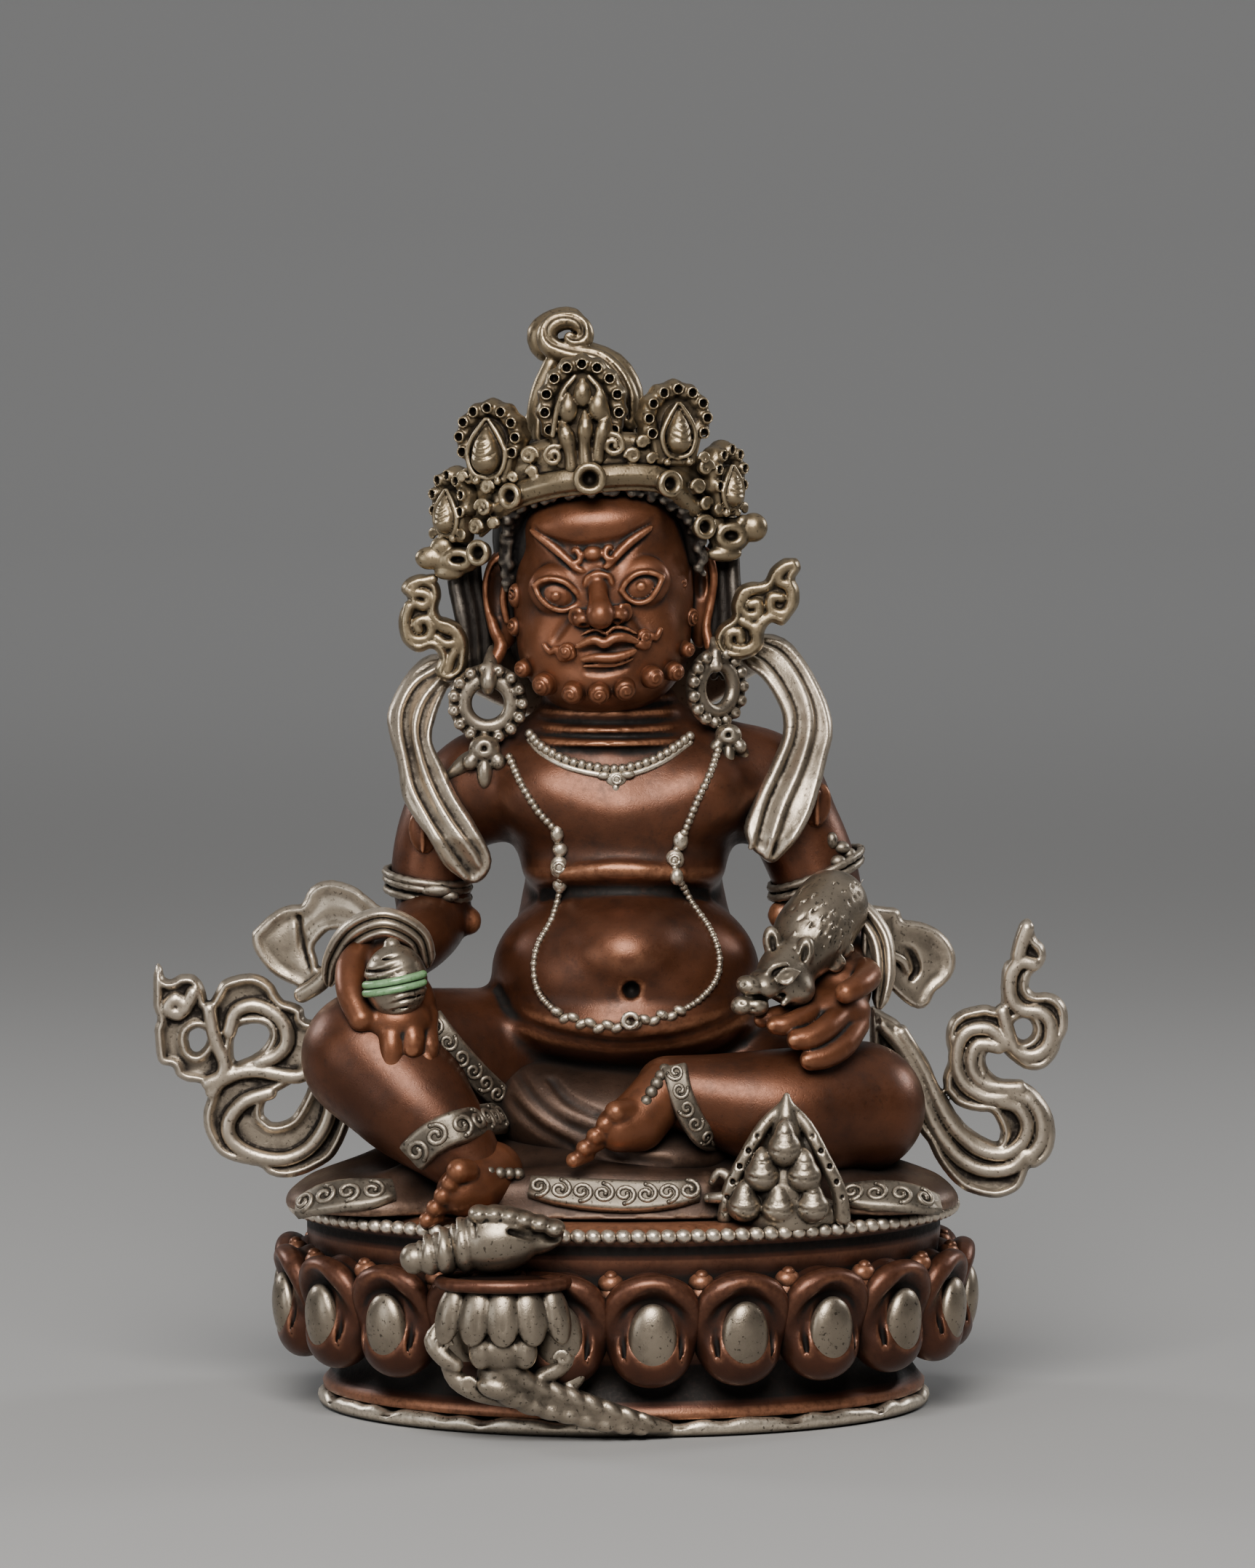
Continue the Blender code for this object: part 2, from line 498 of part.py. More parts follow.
def cut_below(piece, level, reach, cutters):
    """Cuts the piece off flat at a level."""
    bpy.ops.mesh.primitive_cube_add(size=2 * reach, location=(0, 0, level - reach))
    cutter = bpy.context.object
    cutter.name = piece.name + "_underside_cutter"
    cutter.display_type = "WIRE"
    cutter.hide_render = True
    for owner in list(cutter.users_collection):
        owner.objects.unlink(cutter)
    cutters.objects.link(cutter)
    cut = piece.modifiers.new("underside", "BOOLEAN")
    cut.operation = "DIFFERENCE"
    cut.object = cutter


def oval_point(half_width, angle, level):
    """A point of an oval of the base, with the angle counted from the front towards the viewer's right."""
    return Vector((half_width * math.sin(angle), -OVAL_DEPTH_SHARE * half_width * math.cos(angle), level))


def even_angles(half_width, count, first):
    """Angles that share an oval's edge into equal lengths."""
    fine = 1440
    spots = [oval_point(half_width, first + 2 * math.pi * i / fine, 0) for i in range(fine + 1)]
    lengths = [0.0]
    for before, after in zip(spots, spots[1:]):
        lengths.append(lengths[-1] + (after - before).length)
    found = []
    step = 0
    for i in range(count):
        while lengths[step] < lengths[-1] * i / count:
            step += 1
        found.append(first + 2 * math.pi * step / fine)
    return found


def oval_body(form):
    """The foot, the waist, the drum behind the petals and the top of the base."""
    waist_low = FOOT_HEIGHT + 0.25 * (NECK_LEVEL - FOOT_HEIGHT)
    profile = ((FOOT_HALF_WIDTH, -BASE_HEIGHT * 0.1), (FOOT_HALF_WIDTH, FOOT_HEIGHT),
               (0.5 * (FOOT_HALF_WIDTH + NECK_HALF_WIDTH), waist_low), (NECK_HALF_WIDTH, NECK_LEVEL),
               (DRUM_HALF_WIDTH, PETAL_FOOT_LEVEL + 0.2 * (PETAL_TOP_LEVEL - PETAL_FOOT_LEVEL)),
               (DRUM_HALF_WIDTH, BASE_HEIGHT - 2 * RIM_BEAD_RADIUS),
               (RIM_HALF_WIDTH, BASE_HEIGHT - 1.5 * RIM_BEAD_RADIUS), (RIM_HALF_WIDTH, BASE_HEIGHT))
    sides = 96
    turns = [2 * math.pi * i / sides for i in range(sides)]
    loft(form, [[oval_point(reach, angle, level) for angle in turns] for reach, level in profile])


def rim(form):
    level = BASE_HEIGHT - RIM_BEAD_RADIUS
    points = [(*oval_point(RIM_HALF_WIDTH, 2 * math.pi * i / 48, level), RIM_BEAD_RADIUS) for i in range(49)]
    tube(form, points, sides=8)


def petals(form):
    middle = 0.5 * (PETAL_FOOT_LEVEL + PETAL_TOP_LEVEL)
    half_height = 0.5 * (PETAL_TOP_LEVEL - PETAL_FOOT_LEVEL)
    first = math.asin(0.0028 / DRUM_HALF_WIDTH)
    angles = even_angles(DRUM_HALF_WIDTH, PETAL_COUNT, first)
    for i, angle in enumerate(angles):
        ahead = oval_point(1, angle + 0.5 * math.pi, 0)
        turn = math.degrees(math.atan2(ahead.y, ahead.x))
        at = oval_point(DRUM_HALF_WIDTH, angle, middle)
        ball(form, at, (PETAL_HALF_WIDTH, PETAL_BULGE, half_height), (0, 0, turn))
        out = Vector((ahead.y, -ahead.x, 0)).normalized()
        spot = at + out * 0.82 * PETAL_BULGE - Vector((0, 0, 0.28 * half_height))
        ball(form, spot, (INSERT_HALF_WIDTH, 0.3 * PETAL_BULGE, INSERT_HALF_HEIGHT), (0, 0, turn))
        gap = 0.5 * (angle + (angles + [angles[0] + 2 * math.pi])[i + 1])
        tip = oval_point(DRUM_HALF_WIDTH + 0.2 * PETAL_BULGE, gap, PETAL_TOP_LEVEL - 0.25 * half_height)
        ball(form, tip, (0.4 * PETAL_HALF_WIDTH, 0.5 * PETAL_BULGE, 0.4 * half_height), (0, 0, turn))


def base_front(x, half_width):
    """How far forward an oval of the base reaches at a place across it."""
    return -OVAL_DEPTH_SHARE * math.sqrt(half_width ** 2 - x ** 2)


def conch_and_lotus(form):
    """The conch on its small lotus, which grows from the foot and is fused to the front of the rim."""
    share = CONCH_LENGTH / 17
    middle = -12 * MM
    level = BASE_HEIGHT - 1.2 * MM
    depth = base_front(middle, RIM_HALF_WIDTH) - 3.6 * share
    whorls = ((-9, -2.1, 1.7, 1.8), (-7, -1.6, 1.5, 2.2), (-5, -1.1, 1.7, 2.6), (0.4, 0, 5.4, 3.1),
              (5.4, 0.3, 3.4, 1.7))
    for along, rise, half_length, radius in whorls:
        ball(form, (middle + along * share, depth, level + rise * share),
             (half_length * share, radius * share, radius * share), (0, -8, 0))
    cup = level - 7 * share
    ball(form, (middle, depth, cup), (6.4 * share, 4 * share, 3.7 * share))
    ball(form, (middle, depth, cup + 2.7 * share), (6.2 * share, 3.8 * share, 1.3 * share))
    ball(form, (middle + 0.4 * share, depth + 1.2 * share, cup - 4.6 * share), (3.7 * share, 3.2 * share, 2.6 * share))
    foot = base_front(0, FOOT_HALF_WIDTH)
    stem = ((middle + 1 * share, depth + 2 * share, cup - 5.4 * share, 2.4 * share),
            (middle + 8 * share, 0.5 * (depth + foot), 0.5 * (cup - 6 * share), 1.7 * share),
            (middle + 16 * share, foot, 0.5 * FOOT_HEIGHT, 1.1 * share))
    tube(form, stem, sides=10)
    for side in (-1, 1):
        ball(form, (middle + side * 6 * share, depth + 1.6 * share, cup - 3.2 * share),
             (1.7 * share, 1.6 * share, 2.6 * share), (0, side * 25, 0))


def build_base(home, cutters, finish):
    form = Form()
    for section in (oval_body, rim, petals, conch_and_lotus):
        section(form)
    base = mesh_object(form, "lotus_base")
    base.data.materials.append(finish)
    home.objects.link(base)
    fuse(base, BASE_VOXEL, BASE_TRIANGLES, 1)
    cut_below(base, 0.0, 2 * DRUM_HALF_WIDTH, cutters)
    return base


def build_figure(home, cutters, finish):
    form = Form()
    sections = (torso, necklace, head, face, crown, topknot, ribbons_and_earrings, scarves, arms, hand_with_fruit,
                hand_with_mongoose, legs, dhoti, seat_cloth, jewel_heap, wrist_scarf_left, wrist_scarf_right,
                side_swirls)
    for section in sections:
        section(form)
    figure = metres(form, "figure")
    figure.data.materials.append(finish)
    home.objects.link(figure)
    fuse(figure, FIGURE_VOXEL, FIGURE_TRIANGLES, 1)
    cut_below(figure, BASE_HEIGHT + SEAT_GAP, 2 * FIGURE_HEIGHT, cutters)
    return figure


def main():
    clear_scene()
    copper = metal("oxidised_copper", (0.16, 0.06, 0.035), 0.42)
    home = collection("jambhala_statue")
    cutters = collection("cutters")
    build_base(home, cutters, copper)
    build_figure(home, cutters, copper)


main()
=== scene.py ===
"""The looks of the small cast Jambhala statue on its lotus base.

Every form is given in millimetres, in the frame's own directions, and is scaled to metres when its
mesh is made. X runs to the viewer's right, Y to the back and Z up from the floor.
"""

import math

import bmesh
import bpy
import numpy as np
from mathutils import Matrix, Vector


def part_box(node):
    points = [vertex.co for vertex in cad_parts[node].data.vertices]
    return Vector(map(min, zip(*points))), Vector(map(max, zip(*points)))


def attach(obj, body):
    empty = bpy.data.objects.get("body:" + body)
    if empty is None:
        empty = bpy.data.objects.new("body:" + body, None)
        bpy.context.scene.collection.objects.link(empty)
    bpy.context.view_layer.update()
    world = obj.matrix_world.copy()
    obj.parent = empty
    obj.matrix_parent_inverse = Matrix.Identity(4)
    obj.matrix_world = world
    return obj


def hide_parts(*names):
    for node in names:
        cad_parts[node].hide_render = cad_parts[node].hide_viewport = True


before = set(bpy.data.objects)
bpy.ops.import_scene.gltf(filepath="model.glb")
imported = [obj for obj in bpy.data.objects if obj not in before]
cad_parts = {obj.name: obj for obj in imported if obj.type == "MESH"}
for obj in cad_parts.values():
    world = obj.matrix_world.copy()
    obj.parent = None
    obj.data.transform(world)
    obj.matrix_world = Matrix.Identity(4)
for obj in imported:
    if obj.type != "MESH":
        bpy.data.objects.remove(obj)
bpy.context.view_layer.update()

MM = 0.001
# The grid step of hands and feet, the distance stored where nothing is, and the seat's level.
HAND_STEP = 0.2
FAR = 50.0
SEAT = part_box("figure")[0][2] / MM
# The base is an oval, and its depth is a share of its width. Petals and rim beads follow such ovals.
OVAL_SHARE = 0.795
PETALS = 21
PETAL_RING = 33.8
FIRST_PETAL = math.asin(2.8 / PETAL_RING)
RIM_BEADS = 128
RIM_WIDE = 34.6
RIM_LEVEL = SEAT + 0.15

# The photograph's camera: its focal length in pixels, its distance and its aim in metres.
SENSOR = 36
FOCAL_PIXELS = 10496
PICTURE_HEIGHT = 2156
CAMERA_DISTANCE = 0.8
CAMERA_RISE = math.radians(4.2)
CAMERA_AIM = (0.0004, 0, 0.0652)

# Meshes with many faces are thinned to a share of them. The head and the crown keep more.
MANY_FACES = 5000
KEPT_SHARE = 0.36
KEPT_FACES = {"head": 0.62, "crown_leaves": 0.45}

# How many millimetres a vertex stands out to be marked as fully raised, and how far the wide mark looks.
NEAR_RELIEF = 0.06
WIDE_RELIEF = 0.3
WIDE_REACH = 1.1

FINISHES = {}


def rotation(turn):
    """A 3 by 3 turn, in degrees about X, then Y, then Z."""
    spin = Matrix.Identity(3)
    for angle, axis in zip(turn, "XYZ"):
        spin = Matrix.Rotation(math.radians(angle), 3, axis) @ spin
    return np.array(spin, dtype=np.float32)


def smooth(points, steps=8):
    """Samples of a smooth curve through rows of numbers."""
    rows = np.asarray(points, dtype=float)
    ends = np.vstack((2 * rows[:1] - rows[1:2], rows, 2 * rows[-1:] - rows[-2:-1]))
    t = (np.arange(steps) / steps)[:, None]
    found = []
    for a, b, c, d in zip(ends, ends[1:], ends[2:], ends[3:]):
        cubic = (2 * a - 5 * b + 4 * c - d) * t ** 2 + (3 * b - a - 3 * c + d) * t ** 3
        found.append(0.5 * (2 * b + (c - a) * t + cubic))
    return np.vstack((*found, rows[-1:]))


def resample(points, spacing):
    """Rows at even spacing along a route whose first three columns are places."""
    rows = smooth(points, 24)
    gone = np.concatenate(((0,), np.cumsum(np.linalg.norm(np.diff(rows[:, :3], axis=0), axis=1))))
    count = max(2, int(round(gone[-1] / spacing)) + 1)
    wanted = np.linspace(0, gone[-1], count)
    return np.column_stack([np.interp(wanted, gone, column) for column in rows.T])


def closed(points, steps=5):
    """Samples of a smooth closed curve."""
    rows = np.asarray(points, dtype=float)
    round_again = np.vstack((rows[-2:], rows, rows[:2]))
    return smooth(round_again, steps)[2 * steps:-2 * steps + 1][:-1]


def edge_distance(across, up, loops):
    """Distances to the edge of a flat shape with holes, on a grid, negative inside it."""
    x, z = across[:, None], up[None, :]
    nearest = np.full((len(across), len(up)), 1e9)
    inside = np.zeros(nearest.shape, dtype=bool)
    for loop in loops:
        rows = closed(loop)
        for (ax, az), (bx, bz) in zip(rows, np.roll(rows, -1, axis=0)):
            dx, dz = bx - ax, bz - az
            share = np.clip(((x - ax) * dx + (z - az) * dz) / (dx * dx + dz * dz + 1e-9), 0, 1)
            nearest = np.minimum(nearest, (x - ax - share * dx) ** 2 + (z - az - share * dz) ** 2)
            if az != bz:
                inside ^= ((az > z) != (bz > z)) & (x < ax + dx * (z - az) / dz)
    return np.sqrt(nearest) * np.where(inside, -1, 1)


class Clay:
    """A solid kept as a field of distances on a grid: forms are added, cut and blended, then meshed."""

    def __init__(self, low, high, step):
        self.low = np.array(low, dtype=np.float32)
        self.step = step
        counts = np.ceil((np.array(high) - self.low) / step).astype(int) + 1
        self.axes = [self.low[i] + step * np.arange(counts[i], dtype=np.float32) for i in range(3)]
        self.field = np.full(counts, FAR, dtype=np.float32)

    def window(self, low, high):
        """The slices of the grid that a box covers, and the places in it along each axis."""
        cut = []
        for axis, lowest, highest in zip(self.axes, low, high):
            first = int(np.clip(np.floor((lowest - axis[0]) / self.step), 0, len(axis)))
            last = int(np.clip(np.ceil((highest - axis[0]) / self.step) + 1, 0, len(axis)))
            cut.append(slice(first, last))
        x, y, z = (axis[part] for axis, part in zip(self.axes, cut))
        return tuple(cut), x[:, None, None], y[None, :, None], z[None, None, :]

    def blend_in(self, cut, distance, blend, carve):
        here = self.field[cut]
        if carve:
            distance = -distance
            mix = np.maximum(blend - np.abs(here - distance), 0)
            self.field[cut] = np.maximum(here, distance) + mix * mix / (4 * max(blend, 1e-6))
        else:
            mix = np.maximum(blend - np.abs(here - distance), 0)
            self.field[cut] = np.minimum(here, distance) - mix * mix / (4 * max(blend, 1e-6))

    def ball(self, centre, radii, blend=0.5, turn=None, carve=False):
        """An ellipsoid."""
        radii = np.broadcast_to(np.array(radii, dtype=np.float32), 3)
        reach = (radii.max() if turn is not None else radii) + blend + 2 * self.step
        centre = np.array(centre, dtype=np.float32)
        cut, x, y, z = self.window(centre - reach, centre + reach)
        x, y, z = x - centre[0], y - centre[1], z - centre[2]
        if turn is not None:
            r = rotation(turn)
            x, y, z = (r[0, i] * x + r[1, i] * y + r[2, i] * z for i in range(3))
        near = np.sqrt((x / radii[0]) ** 2 + (y / radii[1]) ** 2 + (z / radii[2]) ** 2)
        slope = np.sqrt((x / radii[0] ** 2) ** 2 + (y / radii[1] ** 2) ** 2 + (z / radii[2] ** 2) ** 2)
        self.blend_in(cut, near * (near - 1) / np.maximum(slope, 1e-6), blend, carve)

    def rod(self, points, blend=0.5, carve=False, soft=3):
        """A round rod through rows of (x, y, z, radius)."""
        rows = (smooth(points, soft) if soft > 1 else np.asarray(points, float)).astype(np.float32)
        margin = rows[:, 3].max() + blend + 2 * self.step
        whole, *_ = self.window(rows[:, :3].min(axis=0) - margin, rows[:, :3].max(axis=0) + margin)
        first = [part.start for part in whole]
        gaps = np.full(self.field[whole].shape, FAR, dtype=np.float32)
        for a, b in zip(rows, rows[1:]):
            reach = max(a[3], b[3]) + blend + 2 * self.step
            cut, x, y, z = self.window(np.minimum(a, b)[:3] - reach, np.maximum(a, b)[:3] + reach)
            along = b[:3] - a[:3]
            length = float(along @ along) or 1e-9
            x, y, z = x - a[0], y - a[1], z - a[2]
            share = np.clip((x * along[0] + y * along[1] + z * along[2]) / length, 0, 1)
            gap = (x - share * along[0]) ** 2 + (y - share * along[1]) ** 2 + (z - share * along[2]) ** 2
            spot = tuple(slice(part.start - low, part.stop - low) for part, low in zip(cut, first))
            gaps[spot] = np.minimum(gaps[spot], np.sqrt(gap) - (a[3] + share * (b[3] - a[3])))
        self.blend_in(whole, gaps, blend, carve)

    def plate(self, outline, holes, depth, half):
        """An upright plate. Its half thickness follows the distance to its edge, its depth the place."""
        across, up = self.axes[0], self.axes[2]
        gap = edge_distance(across, up, (outline, *holes))
        middle = depth(across[:, None], up[None, :])[:, None, :] if callable(depth) else depth
        slab = np.abs(self.axes[1][None, :, None] - middle) - half(-gap)[:, None, :]
        self.field = np.minimum(self.field, np.maximum(gap[:, None, :], slab).astype(np.float32))

    def below(self, level):
        """Cuts everything off under a level."""
        self.field = np.maximum(self.field, (level - self.axes[2])[None, None, :])

    def front(self, x, z):
        """How far forward the surface lies at places across and up."""
        spots = []
        for value, axis in ((x, 0), (z, 2)):
            nearest = ((np.asarray(value) - self.low[axis]) / self.step).round().astype(int)
            spots.append(np.clip(nearest, 0, self.field.shape[axis] - 1))
        column = self.field[spots[0], :, spots[1]]
        inside = column < 0
        j = np.maximum(np.argmax(inside, axis=-1), 1)
        j = np.where(inside.any(axis=-1), j, self.field.shape[1] // 2)
        outer = np.take_along_axis(column, np.expand_dims(j - 1, -1), -1)[..., 0]
        inner = np.take_along_axis(column, np.expand_dims(j, -1), -1)[..., 0]
        share = np.clip(outer / np.where(outer == inner, 1, outer - inner), 0, 1)
        return self.axes[1][j - 1] + share * self.step

    def skin(self, route, lift=0.0, spacing=0.3, settle=2):
        """Places along a route of (across, up) on the front, lifted off it."""
        rows = resample([(x, 0, z) for x, z in route], spacing)
        depth = np.pad(self.front(rows[:, 0], rows[:, 2]), settle, mode="edge")
        rows[:, 1] = np.convolve(depth, np.ones(2 * settle + 1) / (2 * settle + 1), mode="valid") - lift
        return rows

    def drawn(self, route, radius, lift=0.0, blend=0.2, carve=False, ends=0.45):
        """A ridge or a groove along a route of (across, up) on the front, thinner at its ends."""
        rows = self.skin(route, lift)
        share = np.sin(np.linspace(0, math.pi, len(rows))) ** 0.5
        self.rod(np.column_stack((rows, radius * (ends + (1 - ends) * share))), blend, carve, 1)

    def surface(self):
        """The places and four-sided faces of the surface, with each crossing's mean place in its cell."""
        field = np.pad(self.field, 1, constant_values=5.0)
        inside = field < 0
        cells = tuple(n - 1 for n in field.shape)
        corner = [(i, j, k) for i in (0, 1) for j in (0, 1) for k in (0, 1)]

        def at(grid, i, j, k):
            return grid[i:i + cells[0], j:j + cells[1], k:k + cells[2]]

        filled = sum(at(inside, *c).astype(np.int8) for c in corner)
        spots = np.argwhere((filled > 0) & (filled < 8))
        number = np.full(cells, -1, dtype=np.int64)
        number[tuple(spots.T)] = np.arange(len(spots))
        value = np.stack([field[tuple((spots + c).T)] for c in corner], axis=1)
        total = np.zeros((len(spots), 3))
        count = np.zeros(len(spots))
        for p, one in enumerate(corner):
            for q, other in enumerate(corner):
                if q <= p or sum(abs(a - b) for a, b in zip(one, other)) != 1:
                    continue
                crossing = (value[:, p] < 0) != (value[:, q] < 0)
                share = value[:, p] / np.where(crossing, value[:, p] - value[:, q], 1)
                place = np.array(one) + share[:, None] * (np.array(other) - np.array(one))
                total += np.where(crossing[:, None], place, 0)
                count += crossing
        places = self.low + self.step * (spots + total / count[:, None] - 1)
        faces = []
        for axis in range(3):
            ahead = np.eye(3, dtype=int)[axis]
            low = inside[:inside.shape[0] - ahead[0], :inside.shape[1] - ahead[1], :inside.shape[2]
                         - ahead[2]]
            high = inside[ahead[0]:, ahead[1]:, ahead[2]:]
            u, v = (np.eye(3, dtype=int)[(axis + s) % 3] for s in (1, 2))
            edges = np.argwhere(low != high)
            edges = edges[(edges[:, (axis + 1) % 3] > 0) & (edges[:, (axis + 2) % 3] > 0)]
            ring = [number[tuple((edges + o).T)] for o in (-u - v, -v, 0 * u, -u)]
            quads = np.stack(ring, axis=1)
            leaving = low[tuple(edges.T)]
            faces.append(np.where(leaving[:, None], quads, quads[:, ::-1]))
        return places, np.vstack(faces)

    def piece(self, name, finish, soften=1):
        places, faces = self.surface()
        return mesh_piece(name, finish, relax(places, faces, soften), faces)


def relax(places, faces, rounds):
    """Moves each place a little towards its neighbours' middle."""
    pairs = np.vstack([faces[:, (i, (i + 1) % 4)] for i in range(4)])
    for _ in range(rounds):
        total = np.zeros_like(places)
        for i in range(3):
            total[:, i] = np.bincount(pairs[:, 0], places[pairs[:, 1], i], len(places))
            total[:, i] += np.bincount(pairs[:, 1], places[pairs[:, 0], i], len(places))
        count = np.bincount(pairs.ravel(), minlength=len(places))
        places = places + 0.5 * (total / np.maximum(count, 1)[:, None] - places)
    return places


def thinned(piece, share):
    """Drops the faces that the shape needs least, down to a share of them."""
    modifier = piece.modifiers.new("thin", "DECIMATE")
    modifier.ratio = share
    full = piece.data
    view = bpy.context.evaluated_depsgraph_get()
    done = piece.evaluated_get(view)
    piece.data = bpy.data.meshes.new_from_object(done, preserve_all_data_layers=True, depsgraph=view)
    piece.modifiers.clear()
    bpy.data.meshes.remove(full)


def mesh_piece(name, finish, places, *faces):
    """A smooth mesh object from places in millimetres and arrays of faces, with its finish and its body."""
    mesh = bpy.data.meshes.new(name)
    faces = [np.asarray(part, dtype=np.int32) for part in faces if len(part)]
    corners = np.concatenate([part.ravel() for part in faces])
    sizes = np.concatenate([np.full(len(part), part.shape[1], dtype=np.int32) for part in faces])
    mesh.vertices.add(len(places))
    mesh.vertices.foreach_set("co", (np.asarray(places, dtype=np.float32) * MM).ravel())
    mesh.loops.add(len(corners))
    mesh.loops.foreach_set("vertex_index", corners)
    mesh.polygons.add(len(sizes))
    mesh.polygons.foreach_set("loop_start", np.concatenate(((0,), np.cumsum(sizes)[:-1])).astype(np.int32))
    mesh.polygons.foreach_set("use_smooth", np.ones(len(sizes), dtype=bool))
    mesh.update()
    mesh.validate()
    piece = bpy.data.objects.new(name, mesh)
    bpy.context.scene.collection.objects.link(piece)
    mark_relief(mesh)
    if len(sizes) > MANY_FACES:
        thinned(piece, KEPT_FACES.get(name, KEPT_SHARE))
    material, slot = FINISHES[finish]
    piece.data.materials.append(material)
    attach(piece, "root")
    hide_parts("lotus_base" if name.startswith("base_") else "figure")
    return piece


def unit_ball(rounds):
    """The places and three-sided faces of a round ball of radius 1."""
    body = bmesh.new()
    bmesh.ops.create_icosphere(body, subdivisions=rounds, radius=1)
    places = np.array([vertex.co[:] for vertex in body.verts])
    faces = np.array([[vertex.index for vertex in face.verts] for face in body.faces])
    body.free()
    return places, faces


BEAD = unit_ball(3)


def unit(rows):
    return rows / np.maximum(np.linalg.norm(rows, axis=-1, keepdims=True), 1e-9)


class Pile:
    """Closed bodies gathered into one piece."""

    def __init__(self):
        self.places = []
        self.quads = []
        self.threes = []
        self.count = 0

    def add(self, places, quads=None, threes=None):
        if quads is not None:
            self.quads.append(np.asarray(quads) + self.count)
        if threes is not None:
            self.threes.append(np.asarray(threes) + self.count)
        self.places.append(np.asarray(places, dtype=float))
        self.count += len(places)

    def bead(self, centre, radii, turn=None):
        places = BEAD[0] * np.broadcast_to(radii, 3)
        if turn is not None:
            places = places @ rotation(turn).T
        self.add(places + np.asarray(centre, dtype=float), threes=BEAD[1])

    def loft(self, rings):
        """Rings of equally many places, joined side by side, with a middle place on each end."""
        rings = np.asarray(rings)
        count, around = rings.shape[:2]
        grid = np.arange(count * around).reshape(count, around)
        after = np.roll(grid, -1, axis=1)
        quads = np.stack((grid[:-1], after[:-1], after[1:], grid[1:]), axis=-1).reshape(-1, 4)
        first, last = count * around, count * around + 1
        low = np.stack((np.full(around, first), after[0], grid[0]), axis=-1)
        high = np.stack((np.full(around, last), grid[-1], after[-1]), axis=-1)
        ends = np.stack((rings[0].mean(axis=0), rings[-1].mean(axis=0)))
        self.add(np.vstack((rings.reshape(-1, 3), ends)), quads, np.vstack((low, high)))

    def sweep(self, points, across, outward, spacing=0.35, facing=(0, -1, 0)):
        """Carries a profile along rows of (x, y, z, half width, half thickness)."""
        rows = resample(points, spacing)
        centre = rows[:, :3]
        ahead = unit(np.gradient(centre, axis=0))
        facing = np.broadcast_to(np.asarray(facing, dtype=float), ahead.shape)
        out = unit(facing - ahead * (facing * ahead).sum(axis=1, keepdims=True))
        side = np.cross(out, ahead)
        width = rows[:, 3, None, None] * np.asarray(across)[None, :, None]
        thickness = rows[:, 4, None, None] * np.asarray(outward)[None, :, None]
        self.loft(centre[:, None] + side[:, None] * width + out[:, None] * thickness)

    def tube(self, points, spacing=0.4, sides=12, facing=(0.1, -1, 0.1)):
        """A round wire through rows of (x, y, z, radius)."""
        turn = np.linspace(0, 2 * np.pi, sides, endpoint=False)
        rows = np.asarray(points, dtype=float)
        rows = np.column_stack((rows, rows[:, 3]))
        self.sweep(rows, np.cos(turn), np.sin(turn), spacing, facing)
        for end in (rows[0], rows[-1]):
            self.bead(end[:3], end[3])

    def band(self, points, lobes, groove=0.45, spacing=0.35, facing=(0, -1, 0), taper=True):
        """A flat band with lengthwise lobes, through rows of (x, y, z, width, thickness)."""
        rows = resample(points, spacing)
        rows[:, 3:] /= 2
        if taper:
            share = np.linspace(0, 1, len(rows))
            rows[:, 3:] *= np.clip(14 * np.minimum(share, 1 - share) + 0.15, 0, 1)[:, None] ** 0.5
        u = np.linspace(1, -1, 8 * lobes + 9)
        edge = np.sqrt(np.maximum(1 - np.abs(u) ** 5, 0))
        swell = np.abs(np.sin(np.pi * lobes * (u + 1) / 2)) ** 0.7
        front = edge * (1 - groove + groove * swell)
        back = -edge[::-2] * 0.8
        across = np.concatenate((u, u[::-2][1:-1]))
        outward = np.concatenate((front, back[1:-1]))
        self.sweep(rows, across, outward, spacing, facing)

    def piece(self, name, finish):
        quads = np.vstack(self.quads) if self.quads else np.empty((0, 4))
        threes = np.vstack(self.threes) if self.threes else np.empty((0, 3))
        return mesh_piece(name, finish, np.vstack(self.places), quads, threes)


def diffuse(values, pairs, count, rounds):
    """Each row moves to the mean of itself and its neighbours, so many times."""
    for _ in range(rounds):
        sums = []
        for column in values.T:
            one_way = np.bincount(pairs[:, 0], column[pairs[:, 1]], len(values))
            sums.append(one_way + np.bincount(pairs[:, 1], column[pairs[:, 0]], len(values)))
        values = 0.5 * values + 0.5 * np.stack(sums, axis=1) / count
    return values


